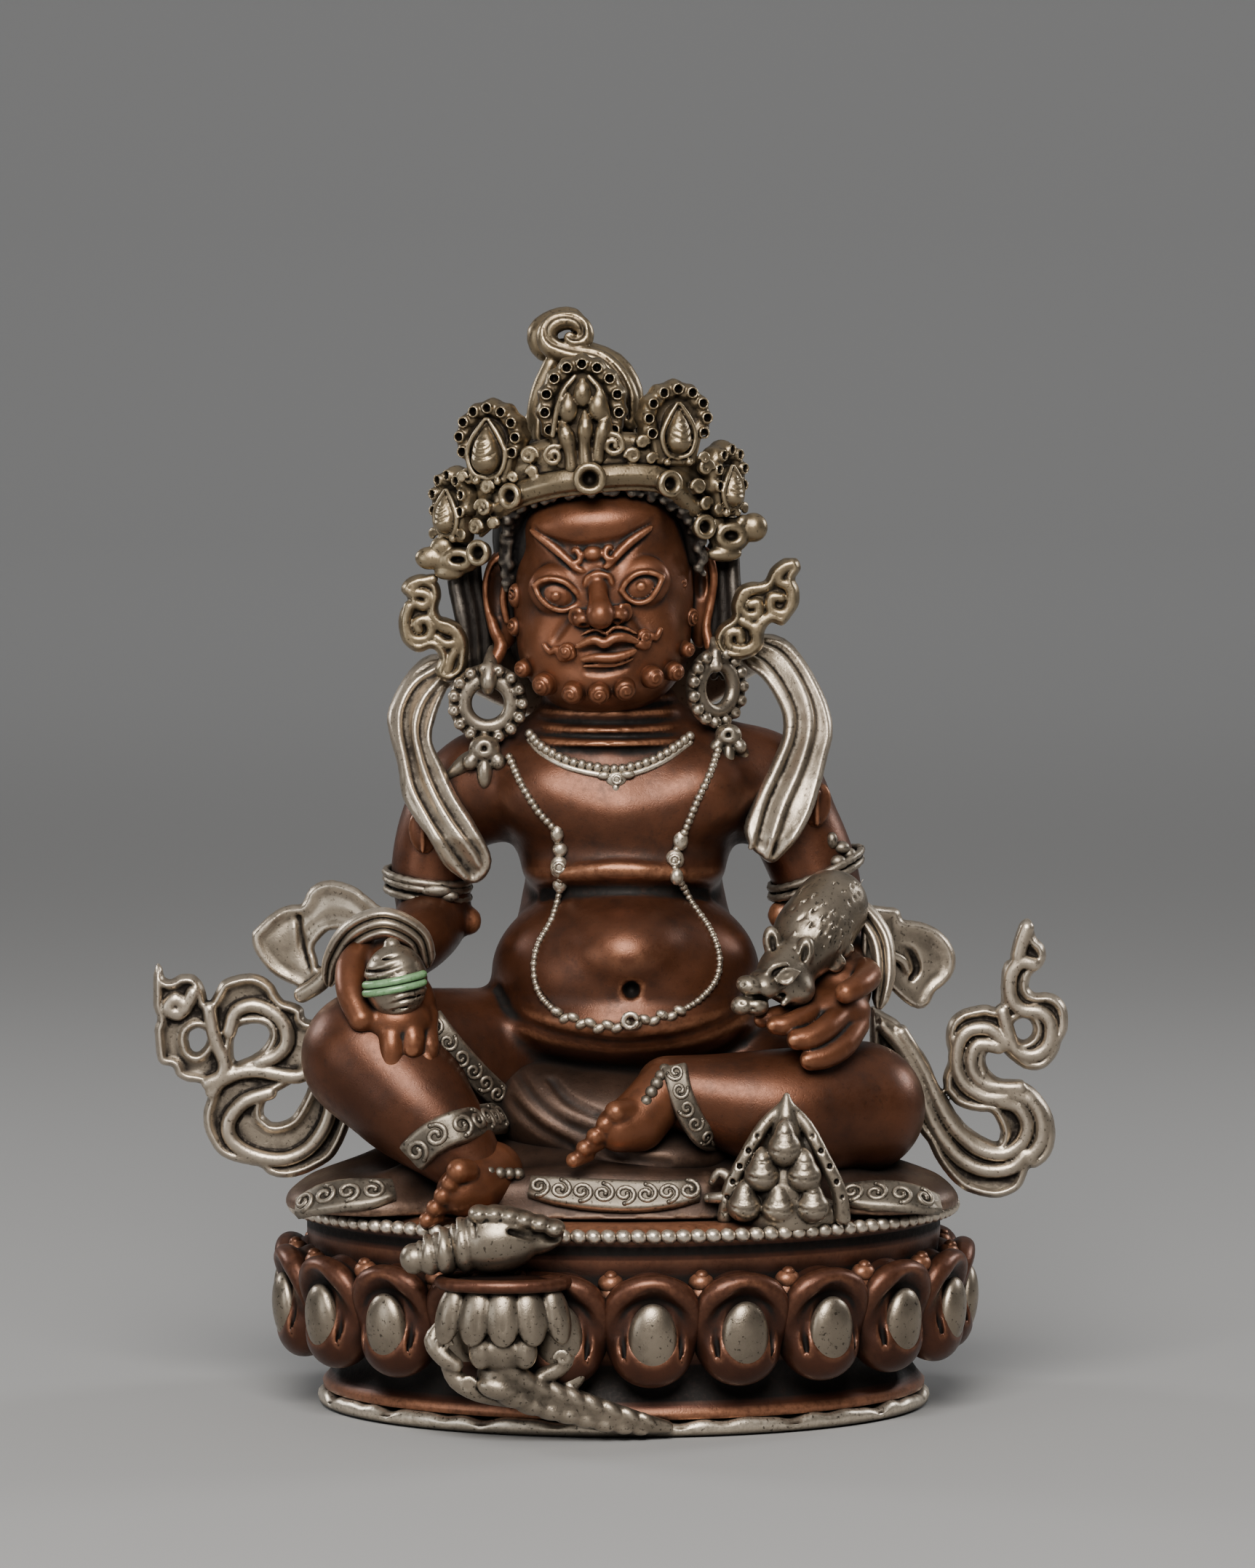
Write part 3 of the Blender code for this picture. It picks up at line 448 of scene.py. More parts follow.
def mark_relief(mesh):
    """Stores how far each vertex stands out of its surroundings, near and wide, with 0.5 for level."""
    total = len(mesh.vertices)
    places = np.empty(total * 3, dtype=np.float32)
    mesh.vertices.foreach_get("co", places)
    places = places.reshape(-1, 3) / MM
    normals = np.empty(total * 3, dtype=np.float32)
    mesh.vertex_normals.foreach_get("vector", normals)
    normals = normals.reshape(-1, 3)
    pairs = np.empty(len(mesh.edges) * 2, dtype=np.int32)
    mesh.edges.foreach_get("vertices", pairs)
    pairs = pairs.reshape(-1, 2)
    count = np.maximum(np.bincount(pairs.ravel(), minlength=total), 1)[:, None]
    reach = np.linalg.norm(places[pairs[:, 0]] - places[pairs[:, 1]], axis=1).mean()
    near = diffuse(places, pairs, count, 2)
    wide = diffuse(near, pairs, count, int(np.clip((WIDE_REACH / reach) ** 2, 4, 36)))
    colours = np.ones((total, 4), dtype=np.float32)
    for channel, level, reach in ((0, near, NEAR_RELIEF), (1, wide, WIDE_RELIEF)):
        stand = ((places - level) * normals).sum(axis=1)
        colours[:, channel] = np.clip(0.5 + 0.5 * stand / reach, 0, 1)
    colours[:, 2] = 0.5
    layer = mesh.color_attributes.new("relief", "FLOAT_COLOR", "POINT")
    layer.data.foreach_set("color", colours.ravel())


def node(tree, kind, **settings):
    made = tree.nodes.new(kind)
    for name, value in settings.items():
        setattr(made, name, value)
    return made


def noise(tree, scale, detail=3.0, roughness=0.55):
    """Noise in the object's own places. The scale is in waves for each millimetre."""
    places = node(tree, "ShaderNodeTexCoord")
    made = node(tree, "ShaderNodeTexNoise")
    made.inputs["Scale"].default_value = scale / MM
    made.inputs["Detail"].default_value = detail
    made.inputs["Roughness"].default_value = roughness
    tree.links.new(places.outputs["Object"], made.inputs["Vector"])
    return made.outputs["Fac"]


def stretch(tree, value, low, high, to_low=0.0, to_high=1.0):
    made = node(tree, "ShaderNodeMapRange")
    for socket, number in zip(("From Min", "From Max", "To Min", "To Max"), (low, high, to_low, to_high)):
        made.inputs[socket].default_value = number
    tree.links.new(value, made.inputs["Value"])
    return made.outputs["Result"]


def mixed(tree, share, one, other):
    made = node(tree, "ShaderNodeMix", data_type="RGBA")
    tree.links.new(share, made.inputs[0])
    for socket, colour in ((made.inputs[6], one), (made.inputs[7], other)):
        if isinstance(colour, tuple):
            socket.default_value = (*colour, 1)
        else:
            tree.links.new(colour, socket)
    return made.outputs[2]


def times(tree, one, other, operation="MULTIPLY"):
    made = node(tree, "ShaderNodeMath", operation=operation)
    made.use_clamp = True
    for socket, value in zip(made.inputs, (one, other)):
        if isinstance(value, float):
            socket.default_value = value
        else:
            tree.links.new(value, socket)
    return made.outputs[0]


def patinated_and_shaded(name, recess, middle, worn, edge, rough, pits, metallic, contact):
    """An antiqued metal: dark patina in the hollows, worn on what stands out, blotched and pitted, and
    darkened with painted shade where another surface is near.

    Recess, middle, worn and edge are its colours from the deepest place to the most rubbed one; recess is
    also the colour of the painted shade.
    Contact is how near another surface has to be for its painted shade, in millimetres.
    """
    material = bpy.data.materials.new(name)
    material.use_nodes = True
    tree = material.node_tree
    shader = tree.nodes["Principled BSDF"]
    relief = node(tree, "ShaderNodeSeparateColor")
    stored = node(tree, "ShaderNodeVertexColor", layer_name="relief")
    tree.links.new(stored.outputs["Color"], relief.inputs["Color"])
    near, wide = relief.outputs["Red"], relief.outputs["Green"]
    blotch = noise(tree, 0.12, 4)
    grain = noise(tree, 1.6, 4, 0.7)
    colour = mixed(tree, stretch(tree, blotch, 0.35, 0.7), middle, worn)
    haze = stretch(tree, noise(tree, 0.4, 5, 0.7), 0.5, 0.7, 0.0, 0.5)
    colour = mixed(tree, haze, colour, recess)
    rubbed = times(tree, stretch(tree, wide, 0.5, 0.85), stretch(tree, grain, 0.2, 0.6, 0.35, 1.0))
    colour = mixed(tree, rubbed, colour, worn)
    sharp = times(tree, stretch(tree, near, 0.56, 0.9), stretch(tree, grain, 0.25, 0.6, 0.3, 1.0))
    colour = mixed(tree, sharp, colour, edge)
    hollow = times(tree, stretch(tree, near, 0.46, 0.15), stretch(tree, wide, 0.47, 0.15), "ADD")
    # Painted shade: ambient occlusion darkens the colour towards recess where another surface is near, added
    # to the patina of the hollows
    shade = node(tree, "ShaderNodeAmbientOcclusion", samples=6)
    shade.inputs["Distance"].default_value = contact * MM
    patina_and_painted_shade = times(tree, stretch(tree, shade.outputs["AO"], 0.75, 0.2), hollow, "ADD")
    patina_and_painted_shade = times(tree, patina_and_painted_shade, stretch(tree, grain, 0.1, 0.5, 0.75, 1.0))
    colour = mixed(tree, patina_and_painted_shade, colour, recess)
    speck = times(tree, stretch(tree, noise(tree, 2.6, 2, 0.5), 0.62, 0.7), pits)
    colour = mixed(tree, speck, colour, recess)
    tree.links.new(colour, shader.inputs["Base Color"])
    shader.inputs["Metallic"].default_value = metallic
    uneven = stretch(tree, grain, 0.2, 0.8, rough - 0.07, rough + 0.1)
    dull = times(tree, uneven, times(tree, patina_and_painted_shade, 0.25), "ADD")
    tree.links.new(dull, shader.inputs["Roughness"])
    bump = node(tree, "ShaderNodeBump")
    bump.inputs["Strength"].default_value = 0.35
    bump.inputs["Distance"].default_value = 0.06 * MM
    tree.links.new(times(tree, grain, noise(tree, 5.0, 2), "ADD"), bump.inputs["Height"])
    tree.links.new(bump.outputs["Normal"], shader.inputs["Normal"])
    return material


# The darkest copper colour: patina in the hollows, blotches and pits, and the painted shade where another
# surface is near
DARK_PATINA_AND_SHADE = (0.009, 0.007, 0.006)
COPPER_ROWS = (
    ("copper", "oxidised_copper",
     (0.052, 0.0185, 0.009), (0.115, 0.041, 0.019), (0.42, 0.19, 0.1), 0.37, 0.25, 1.4),
    ("cloth", "darkened_copper",
     (0.03, 0.017, 0.0115), (0.07, 0.038, 0.025), (0.3, 0.19, 0.13), 0.44, 0.3, 2.0),
    ("petal", "petal_copper",
     (0.038, 0.0145, 0.0085), (0.085, 0.031, 0.017), (0.3, 0.13, 0.07), 0.36, 0.2, 2.4),
    ("face", "worn_copper",
     (0.088, 0.032, 0.0145), (0.17, 0.062, 0.028), (0.55, 0.26, 0.14), 0.37, 0.15, 0.9))
# The first colour of each silver finish is its darkest: tarnish in the hollows, blotches and pits, and the
# painted shade where another surface is near
SILVER_ROWS = (
    ("silver", "silver_plate", (0.014, 0.011, 0.009),
     (0.3, 0.25, 0.19), (0.46, 0.385, 0.3), (0.86, 0.76, 0.63), 0.33, 0.6, 1.4),
    ("antique", "antique_silver", (0.012, 0.0095, 0.0075),
     (0.19, 0.158, 0.12), (0.33, 0.275, 0.21), (0.76, 0.66, 0.53), 0.33, 0.7, 1.4),
    ("dull", "dulled_silver", (0.01, 0.008, 0.0065),
     (0.062, 0.052, 0.041), (0.12, 0.102, 0.08), (0.33, 0.28, 0.22), 0.42, 0.7, 1.2),
    ("gilt", "warm_silver_plate", (0.012, 0.009, 0.007),
     (0.165, 0.124, 0.077), (0.29, 0.225, 0.14), (0.74, 0.6, 0.4), 0.32, 0.6, 1.4),
    ("dark", "blackened_silver", (0.006, 0.005, 0.005),
     (0.026, 0.023, 0.021), (0.06, 0.052, 0.046), (0.3, 0.26, 0.21), 0.4, 0.4, 1.4))


def make_finishes():
    """Each finish's material and the record's slot that it stands for."""
    for key, name, middle, worn, edge, rough, pits, contact in COPPER_ROWS:
        material = patinated_and_shaded(name, DARK_PATINA_AND_SHADE, middle, worn, edge, rough, pits, 0.65, contact)
        FINISHES[key] = (material, "oxidised_copper")
    for key, name, recess, middle, worn, edge, rough, pits, contact in SILVER_ROWS:
        material = patinated_and_shaded(name, recess, middle, worn, edge, rough, pits, 0.9, contact)
        FINISHES[key] = (material, "silver_plate")
    green = patinated_and_shaded("green_enamel", (0.01, 0.014, 0.008), (0.035, 0.11, 0.035), (0.08, 0.2, 0.07),
                      (0.2, 0.36, 0.18), 0.3, 0.3, 0.25, 1.4)
    FINISHES["enamel"] = (green, "green_enamel")


def sculpt_body():
    """The copper body: torso, arms, legs and the cloth in the lap."""
    clay = Clay((-36, -25, SEAT), (34, 19, 78), 0.36)
    clay.ball((0, 2.5, 32.5), (16.5, 13, 11), 1)
    clay.ball((0, 4.5, 50), (11, 7.6, 14), 3)
    clay.ball((0.2, -2.2, 45.6), (14.0, 12, 9.8), 2.5)
    clay.ball((0.3, -3.4, 41.2), (13.9, 11.6, 5.4), 1.0)
    clay.ball((0, 0.8, 61.4), (12, 8.9, 8.4), 3)
    clay.ball((-0.2, -1.6, 62.6), (9.8, 7.4, 5.2), 3)
    clay.ball((0.3, -5.0, 48.2), (8.3, 10.3, 6.2), 0.6)
    for side in (-1, 1):
        clay.rod([(side * 4, 0.6, 69, 4.6), (side * 10, 0.9, 67.0, 5.0), (side * 15.5, 1.5, 64.4, 5.2)], 3)
        clay.ball((side * 7.4, -3.6, 64.6), (5.6, 4.6, 4.6), 3)
    clay.rod([(-0.9, 1, 65, 8.6), (-1.5, 0.2, 70, 7.2), (-1.9, 0, 77, 6.3)], 2.5)
    for level, radius in ((70.0, 8.6), (71.4, 7.9), (73.0, 7.3), (74.6, 6.9)):
        clay.ball((-1.5, 0.0, level), (radius, radius, 0.75), 0.7)
    arms(clay)
    legs(clay)
    clay.ball((0, -1.6, 56.4), (10.2, 7.9, 3.0), 2.5)
    clay.drawn([(-8.6, 53.9), (-5.8, 54.6), (0.2, 55.0), (6.0, 54.6), (8.8, 53.9)], 0.3, 0.1, 1.4, True)
    clay.drawn([(-6.9, 56.4), (-3.4, 56.9), (0.4, 57.1), (5.8, 56.5)], 0.5, -0.15, 0.9)
    clay.drawn([(-13.2, 44.4), (-12.0, 42.4), (-9.2, 40.8), (-5.2, 39.8), (0.3, 39.3), (5.6, 39.8),
                (9.6, 41.0), (12.4, 42.6), (13.4, 44.6)], 0.36, 0.1, 1.2, True)
    clay.ball((0.8, -14.4, 44.9), (0.95, 1.9, 0.95), 0.35, carve=True)
    clay.below(SEAT + 0.2)
    return clay


def arms(clay):
    clay.rod([(-14.4, 1.5, 65.2, 5.4), (-18.2, 2, 62, 4.8), (-20.2, 2, 56.5, 4.2), (-20, 1, 51.6, 3.9),
              (-21.4, -4, 49.4, 3.6), (-23.8, -9.5, 48, 3.1), (-24.4, -12, 47, 2.8)], 2, soft=8)
    clay.rod([(14.0, 1.5, 65.2, 5.4), (17.2, 2, 62, 4.8), (19.8, 2, 56.5, 4.6), (21.2, 1, 51.6, 4.1),
              (22, -4, 48.2, 3.5), (22.4, -10, 45.2, 3)], 2, soft=8)
    clay.ball((-16.2, 0.0, 50.8), (1.3, 1.4, 1.5), 0.6)
    clay.ball((16.6, 0.2, 51.4), (1.5, 1.5, 1.6), 0.6)


def legs(clay):
    clay.rod([(-8, 2, 35, 8.2), (-17, -5, 36.6, 7.6), (-25, -10.8, 38, 6.6), (-26.4, -12.4, 37.9, 6.5)], 2,
             soft=8)
    clay.rod([(-26.4, -12.4, 37.8, 6.4), (-22.4, -15.0, 34.0, 6.2), (-18.2, -17.2, 30.0, 4.6),
              (-15.6, -18.2, 27.2, 3.4)], 2, soft=8)
    clay.rod([(8, 2, 33.3, 8.2), (17, -4, 32.8, 7.6), (24.2, -9, 32.2, 6.6)], 2, soft=8)
    clay.rod([(24.6, -11, 32.4, 6.5), (16.8, -14.4, 32.6, 6.3), (9.8, -16.0, 33.8, 4.7),
              (4.6, -16.8, 35, 3.4)], 1.6, soft=8)


def lap_cloth():
    """The dark cloth that falls in fine folds between the legs."""
    clay = Clay((-19, -22, 22), (14, 0, 41), 0.24)
    clay.ball((-1.0, -7.4, 30.4), (12.6, 8.8, 6.2), 1, (0, 6, 0))
    clay.ball((-7, -7.4, 31.6), (7.0, 6.6, 4.8), 2, (0, 28, 0))
    clay.ball((3, -11.5, 27.8), (8.6, 8.0, 3.6), 2)
    for route in ([(-11.0, 36.0), (-9.0, 33.4), (-6.0, 31.2), (-2.6, 30.0)],
                  [(-7.6, 35.6), (-5.6, 33.6), (-2.6, 32.2)], [(-11.8, 33.4), (-9.0, 30.8), (-5.4, 28.8)],
                  [(-2.4, 29.2), (0.6, 28.0), (4.6, 27.6)]):
        clay.drawn(route, 0.24, 0.08, 0.9, True)
    clay.piece("lap_cloth", "cloth")


def right_hand():
    """The hand on the viewer's left: palm out, fingers down, holding the fruit."""
    clay = Clay((-31, -23.5, 33), (-17, -6, 52), HAND_STEP)
    clay.rod([(-23.6, -8, 48.4, 3.1), (-24.0, -12, 46.4, 3.4)], 1)
    clay.ball((-23.6, -14.0, 43.2), (4.3, 3.4, 4.4), 1)
    clay.ball((-23.4, -16.6, 42.0), (3.7, 3.0, 2.6), 0.8)
    clay.rod([(-27, -11.5, 48.6, 1.6), (-28.1, -14, 47.2, 1.6), (-28.0, -16.6, 44.8, 1.5),
              (-26.9, -18.4, 42.4, 1.35)], 0.7)
    fingers = ((-26.2, -16.8, 41.4, -26.0, 38.8, -25.0, 36.5, 1.12),
               (-23.9, -17.8, 41.6, -23.8, 39.8, -23.8, 38.1, 1.3),
               (-21.8, -17.6, 41.6, -21.6, 40.4, -21.7, 39.4, 1.2),
               (-20.2, -16.6, 40.8, -20.0, 39.6, -20.2, 38.4, 1.05))
    for x, y, z, x2, z2, x3, z3, radius in fingers:
        clay.rod([(x, y + 1.6, z + 1.6, radius * 1.1), (x, y, z, radius * 1.08), (x2, y - 1, z2, radius),
                  (x3, y - 1, z3, radius * 0.98)], 0.3)
        clay.ball((x3, y - 1.95, z3 - 0.1), (0.6 * radius, 0.3, 0.6 * radius), 0.1)
    clay.piece("right_hand", "face")


def left_hand():
    """The hand on the viewer's right, curled under the mongoose."""
    clay = Clay((12.5, -24, 34.5), (28, -5, 50), HAND_STEP)
    clay.rod([(22.3, -7, 46.6, 3.1), (22.4, -10.5, 44.6, 3.3)], 1)
    clay.ball((21.0, -13.4, 42.0), (4.6, 3.8, 3.2), 1, (0, -14, 0))
    clay.rod([(25.0, -9.6, 46.4, 1.5), (25.2, -13.0, 46.2, 1.45), (24.2, -16.0, 45.6, 1.3),
              (22.8, -17.4, 45.0, 1.15)], 0.5)
    fingers = (((24.0, -14.6, 41.4), (22.6, -17.4, 39.6), (20.8, -18.8, 38.6), (19.2, -19.4, 38.3), 1.25),
               ((22.4, -15.6, 42.6), (20.8, -18.2, 41.4), (19.2, -19.4, 40.6), (17.8, -19.8, 40.4), 1.2),
               ((19.6, -15.8, 42.8), (18.0, -17.8, 42.2), (16.6, -18.8, 41.8), (15.6, -19.0, 41.8), 1.1),
               ((17.6, -14.8, 42.8), (16.0, -16.4, 42.6), (14.8, -17.2, 42.4), (14.2, -17.4, 42.2), 0.95))
    for *places, radius in fingers:
        shares = (1.1, 1.08, 1.02, 0.92)
        clay.rod([(*place, radius * share) for place, share in zip(places, shares)], 0.25)
        x, y, z = places[-1]
        clay.ball((x - 0.35 * radius, y - 0.7 * radius, z), (0.5 * radius, 0.35, 0.5 * radius), 0.1)
    clay.piece("left_hand", "face")


def foot(name, heel, ball, toes, step, size):
    """A bare foot: heel, ball, and five toes from a first place along a step."""
    places = np.array([heel[:3], ball[:3], toes, np.array(toes) + 4 * np.array(step)])
    clay = Clay(places.min(axis=0) - 5, places.max(axis=0) + 5, HAND_STEP)
    clay.rod([heel, tuple((a + b) / 2 for a, b in zip(heel, ball)), ball], 0.8)
    middle = np.array(toes) + 2 * np.array(step)
    clay.rod([(*heel[:3], 1.6), (*(0.45 * middle + 0.55 * np.array(ball[:3])), 2.4)], 1.2)
    for i in range(5):
        place = np.array(toes) + i * np.array(step)
        back = 0.72 * place + 0.28 * np.array(ball[:3]) + np.array(step) * 0.2 * (i - 2)
        radius = size * (0.86 if i == 0 else 0.7 - 0.03 * i)
        clay.rod([(*back, radius), (*place, radius)], 0.3, soft=2)
    clay.piece(name, "face")


def sculpt_head():
    """Head, ears and the wrathful face."""
    clay = Clay((-16, -16.5, 71.5), (11.5, 12, 98.5), 0.18)
    clay.ball((-2.2, 0.6, 88.2), (9.3, 10.2, 9.6), 1)
    clay.ball((-2.1, -1.2, 81.3), (9.0, 8.6, 8.3), 3)
    clay.ball((-2.1, -3.8, 86.0), (8.3, 6.2, 8.0), 3)
    clay.rod([(-1.9, 0, 73, 6.1), (-2.2, 0.4, 80, 6.4)], 1)
    clay.ball((-7.0, -6.6, 80.8), (3.0, 2.9, 3.4), 1.8)
    clay.ball((2.8, -6.6, 81.2), (3.0, 2.9, 3.4), 1.8)
    clay.ball((-1.9, -9.0, 80.2), (4.0, 2.2, 3.0), 1.8)
    clay.ball((-2.0, -8.6, 76.8), (3.4, 1.9, 1.6), 1.4)
    clay.ball((-2.1, -5.6, 76.4), (6.4, 4.4, 3.2), 2)
    clay.ball((-6.4, -3.6, 79.2), (3.9, 5.2, 4.2), 2)
    clay.ball((2.3, -3.6, 79.4), (3.9, 5.2, 4.2), 2)
    clay.ball((-2.6, -4.4, 92.4), (7.6, 4.9, 4.4), 2)
    ears(clay)
    eye(clay, (-6.8, 85.4), 14, [(-9.2, 86.5), (-8.5, 87.0), (-7.4, 87.2), (-6.0, 86.8), (-4.9, 85.8),
                                 (-4.4, 84.9)],
        [(-9.2, 86.5), (-8.6, 85.2), (-7.6, 84.3), (-6.3, 83.9), (-5.1, 84.3), (-4.4, 84.9)], (-7.0, 85.4))
    eye(clay, (1.8, 86.2), -17, [(-0.2, 86.0), (0.3, 86.9), (1.3, 87.7), (2.4, 87.9), (3.3, 87.7),
                                 (4.0, 87.3)],
        [(-0.2, 86.0), (0.5, 85.1), (1.5, 84.7), (2.6, 85.0), (3.4, 86.0), (4.0, 87.3)], (1.8, 86.4))
    brows(clay)
    nose(clay)
    mouth(clay)
    return clay


def ears(clay):
    clay.ball((-12.6, 0.4, 84.6), (2.3, 1.7, 5.4), 0.5)
    clay.rod([(-11.8, -1.2, 89.6, 0.5), (-13.2, -1.4, 88.8, 0.6), (-14.1, -1.4, 86.8, 0.6),
              (-14.1, -1.2, 84.0, 0.55), (-13.5, -1.4, 81.4, 0.6), (-12.8, -2.2, 79.8, 0.7),
              (-13.5, -2.6, 78.2, 0.7), (-13.9, -2.8, 77.2, 0.5)], 0.25)
    clay.ball((-13.1, -1.6, 85.6), (1.1, 1.3, 3.0), 0.3, carve=True)
    clay.rod([(-12.0, -1.5, 87.4, 0.35), (-12.6, -1.6, 84.8, 0.4), (-12.2, -1.6, 82.4, 0.35)], 0.3)
    clay.ball((8.0, 0.8, 84.8), (1.6, 1.6, 5.4), 0.5)
    clay.rod([(6.9, -1.6, 90.0, 0.5), (8.6, -2.0, 89.6, 0.5), (9.4, -2.0, 87.2, 0.45),
              (9.1, -1.8, 84.4, 0.45), (8.6, -2.0, 81.8, 0.5), (9.0, -2.4, 79.8, 0.6)], 0.25)
    clay.ball((8.1, -1.4, 86.6), (0.75, 1.2, 2.4), 0.2, carve=True)


def brows(clay):
    clay.ball((-2.9, -7.9, 92.9), (6.4, 2.7, 2.3), 2.2, (0, -4, 0))
    clay.drawn([(-9.4, 92.3), (-8.1, 91.3), (-5.3, 90.5), (-3.2, 90.6), (-0.2, 91.2), (2.0, 92.3),
                (3.3, 93.3)], 0.26, 0.12, 0.7, True)
    for route, radius in (([(-9.6, 92.1), (-7.5, 90.6), (-5.8, 89.1), (-4.7, 88.2), (-4.1, 88.0)], 0.52),
                          ([(-5.2, 88.9), (-4.6, 89.0), (-4.5, 89.6), (-4.9, 90.2), (-5.3, 90.0)], 0.34),
                          ([(2.9, 92.5), (0.7, 91.0), (-0.8, 89.5), (-1.6, 88.6), (-2.1, 88.3)], 0.52),
                          ([(-1.0, 89.3), (-1.7, 89.3), (-1.9, 89.9), (-1.6, 90.5), (-1.2, 90.3)], 0.34)):
        clay.drawn(route, radius, 0.12, 0.2, ends=0.35)
    for route in ([(-9.2, 91.2), (-7.3, 89.7), (-5.7, 88.3)], [(2.7, 91.6), (0.8, 90.1), (-0.6, 88.7)]):
        clay.drawn(route, 0.22, 0.08, 0.3, True)
    depth = float(clay.front(-3.2, 89.8))
    clay.ball((-3.2, depth - 0.1, 89.8), (0.95, 0.6, 0.75), 0.3)
    clay.drawn([(-4.0, 86.5), (-3.7, 87.3), (-2.75, 87.7), (-1.6, 87.5), (-1.2, 86.7)], 0.36, 0.1, 0.2)
    clay.drawn([(-4.0, 87.6), (-2.8, 88.3), (-1.5, 87.9)], 0.18, 0.05, 0.2, True)


def eye(clay, centre, tilt, upper, lower, iris):
    """A bulging lid with an almond opening, its two rims, and the ball with its iris."""
    x, z = centre
    face = float(clay.front(x, z)) + 0.2
    clay.ball((x, face + 0.5, z + 0.6), (3.1, 1.75, 2.7), 0.35, (0, tilt, 0))
    clay.ball((x, face - 1.2, z), (2.35, 0.95, 1.45), 0.15, (0, tilt, 0), True)
    clay.ball((x, face + 0.4, z), (2.15, 1.4, 1.6), 0.08, (0, tilt, 0))
    for route in (upper, lower):
        rows = []
        for at_x, at_z in smooth(route, 4):
            bow = 1 - ((at_x - x) / 3.3) ** 2 - ((at_z - z - 0.6) / 3.0) ** 2
            rows.append((at_x, face + 0.45 - 1.75 * math.sqrt(max(bow, 0.1)), at_z, 0.3))
        clay.rod(rows, 0.15, soft=1)
    depth = float(clay.front(*iris))
    rows = []
    for angle in np.linspace(0, 6.3, 25):
        rows.append((iris[0] + 0.88 * math.cos(angle), depth - 0.05, iris[1] + 0.88 * math.sin(angle), 0.13))
    clay.rod(rows, 0.08, True, 1)
    clay.ball((iris[0], depth + 0.05, iris[1]), (0.5, 0.3, 0.5), 0.06)
    clay.ball((iris[0], depth - 0.3, iris[1]), (0.2, 0.2, 0.2), 0.04, carve=True)


def nose(clay):
    clay.rod([(-2.75, -10.0, 87.0, 0.8), (-2.6, -11.3, 85.4, 1.0), (-2.45, -12.2, 84.2, 1.25)], 0.5)
    clay.ball((-2.4, -12.6, 83.6), (1.45, 1.5, 1.5), 0.4)
    for side, lift in ((-1, 0.0), (1, 0.45)):
        x = -2.4 + side * 1.75
        clay.ball((x, -11.2, 83.1 + lift), (1.15, 1.5, 0.95), 0.25)
        clay.rod([(x + side * 0.4, -11.9, 84.0 + lift, 0.28), (x + side * 1.1, -11.2, 83.9 + lift, 0.34),
                  (x + side * 1.3, -10.8, 83.1 + lift, 0.3), (x + side * 0.9, -11.0, 82.6 + lift, 0.26)],
                 0.15)
        clay.ball((x - side * 0.05, -12.3, 82.35 + lift), (0.55, 1.0, 0.42), 0.12, carve=True)
        clay.drawn([(x + side * 1.7, 82.9 + lift), (x + side * 2.5, 81.8 + lift),
                    (x + side * 3.1, 80.8 + lift)], 0.35, 0.15, 0.6, True)


def mouth(clay):
    clay.drawn([(-4.9, 79.7), (-3.2, 79.9), (-1.6, 79.9), (0.2, 80.2), (1.6, 80.6)], 0.62, 0.2, 0.4, True)
    clay.drawn([(-4.8, 80.2), (-3.7, 80.8), (-2.8, 80.95), (-2.0, 80.6), (-1.1, 81.1), (0.1, 81.2),
                (1.5, 80.7)], 0.55, 0.62, 0.2)
    clay.drawn([(-4.4, 81.4), (-3.4, 81.9), (-2.6, 82.0), (-1.9, 81.6), (-1.0, 82.2), (0.2, 82.1),
                (1.4, 81.5)], 0.26, 0.3, 0.2)
    clay.drawn([(-4.3, 78.9), (-2.9, 79.1), (-1.2, 79.1), (0.2, 79.4), (1.2, 79.8)], 0.55, 0.55, 0.15)
    clay.drawn([(-4.2, 78.2), (-2.6, 78.3), (-0.8, 78.35), (1.0, 79.0)], 0.3, 0.25, 0.15)
    clay.drawn([(-4.0, 77.6), (-2.0, 77.6), (0.6, 78.1)], 0.3, 0.1, 0.4, True)


CURLS = ((-10.0, 77.8, 0.95), (-7.95, 76.3, 1.2), (-5.1, 75.5, 1.15), (-2.5, 75.5, 1.15), (0.0, 75.9, 1.15),
         (2.7, 77.1, 1.2), (4.9, 77.6, 1.0), (6.2, 79.8, 0.8))


def spiral(clay, tip, out, radius, way):
    """A spiral groove on a round tip that faces along a direction."""
    out = unit(np.array(out, dtype=float))
    across = unit(np.cross((0, 0, 1), out))
    up = np.cross(out, across)
    rows = []
    for turn in np.linspace(0, 3.4 * math.pi, 24):
        reach = radius * (0.12 + 0.07 * turn)
        rise = math.sqrt(max(radius ** 2 - reach ** 2, 0.02))
        flat = across * way * reach * math.cos(turn) + up * reach * math.sin(turn)
        rows.append((*(tip + flat + out * rise), 0.12))
    clay.rod(rows, 0.05, True, 1)


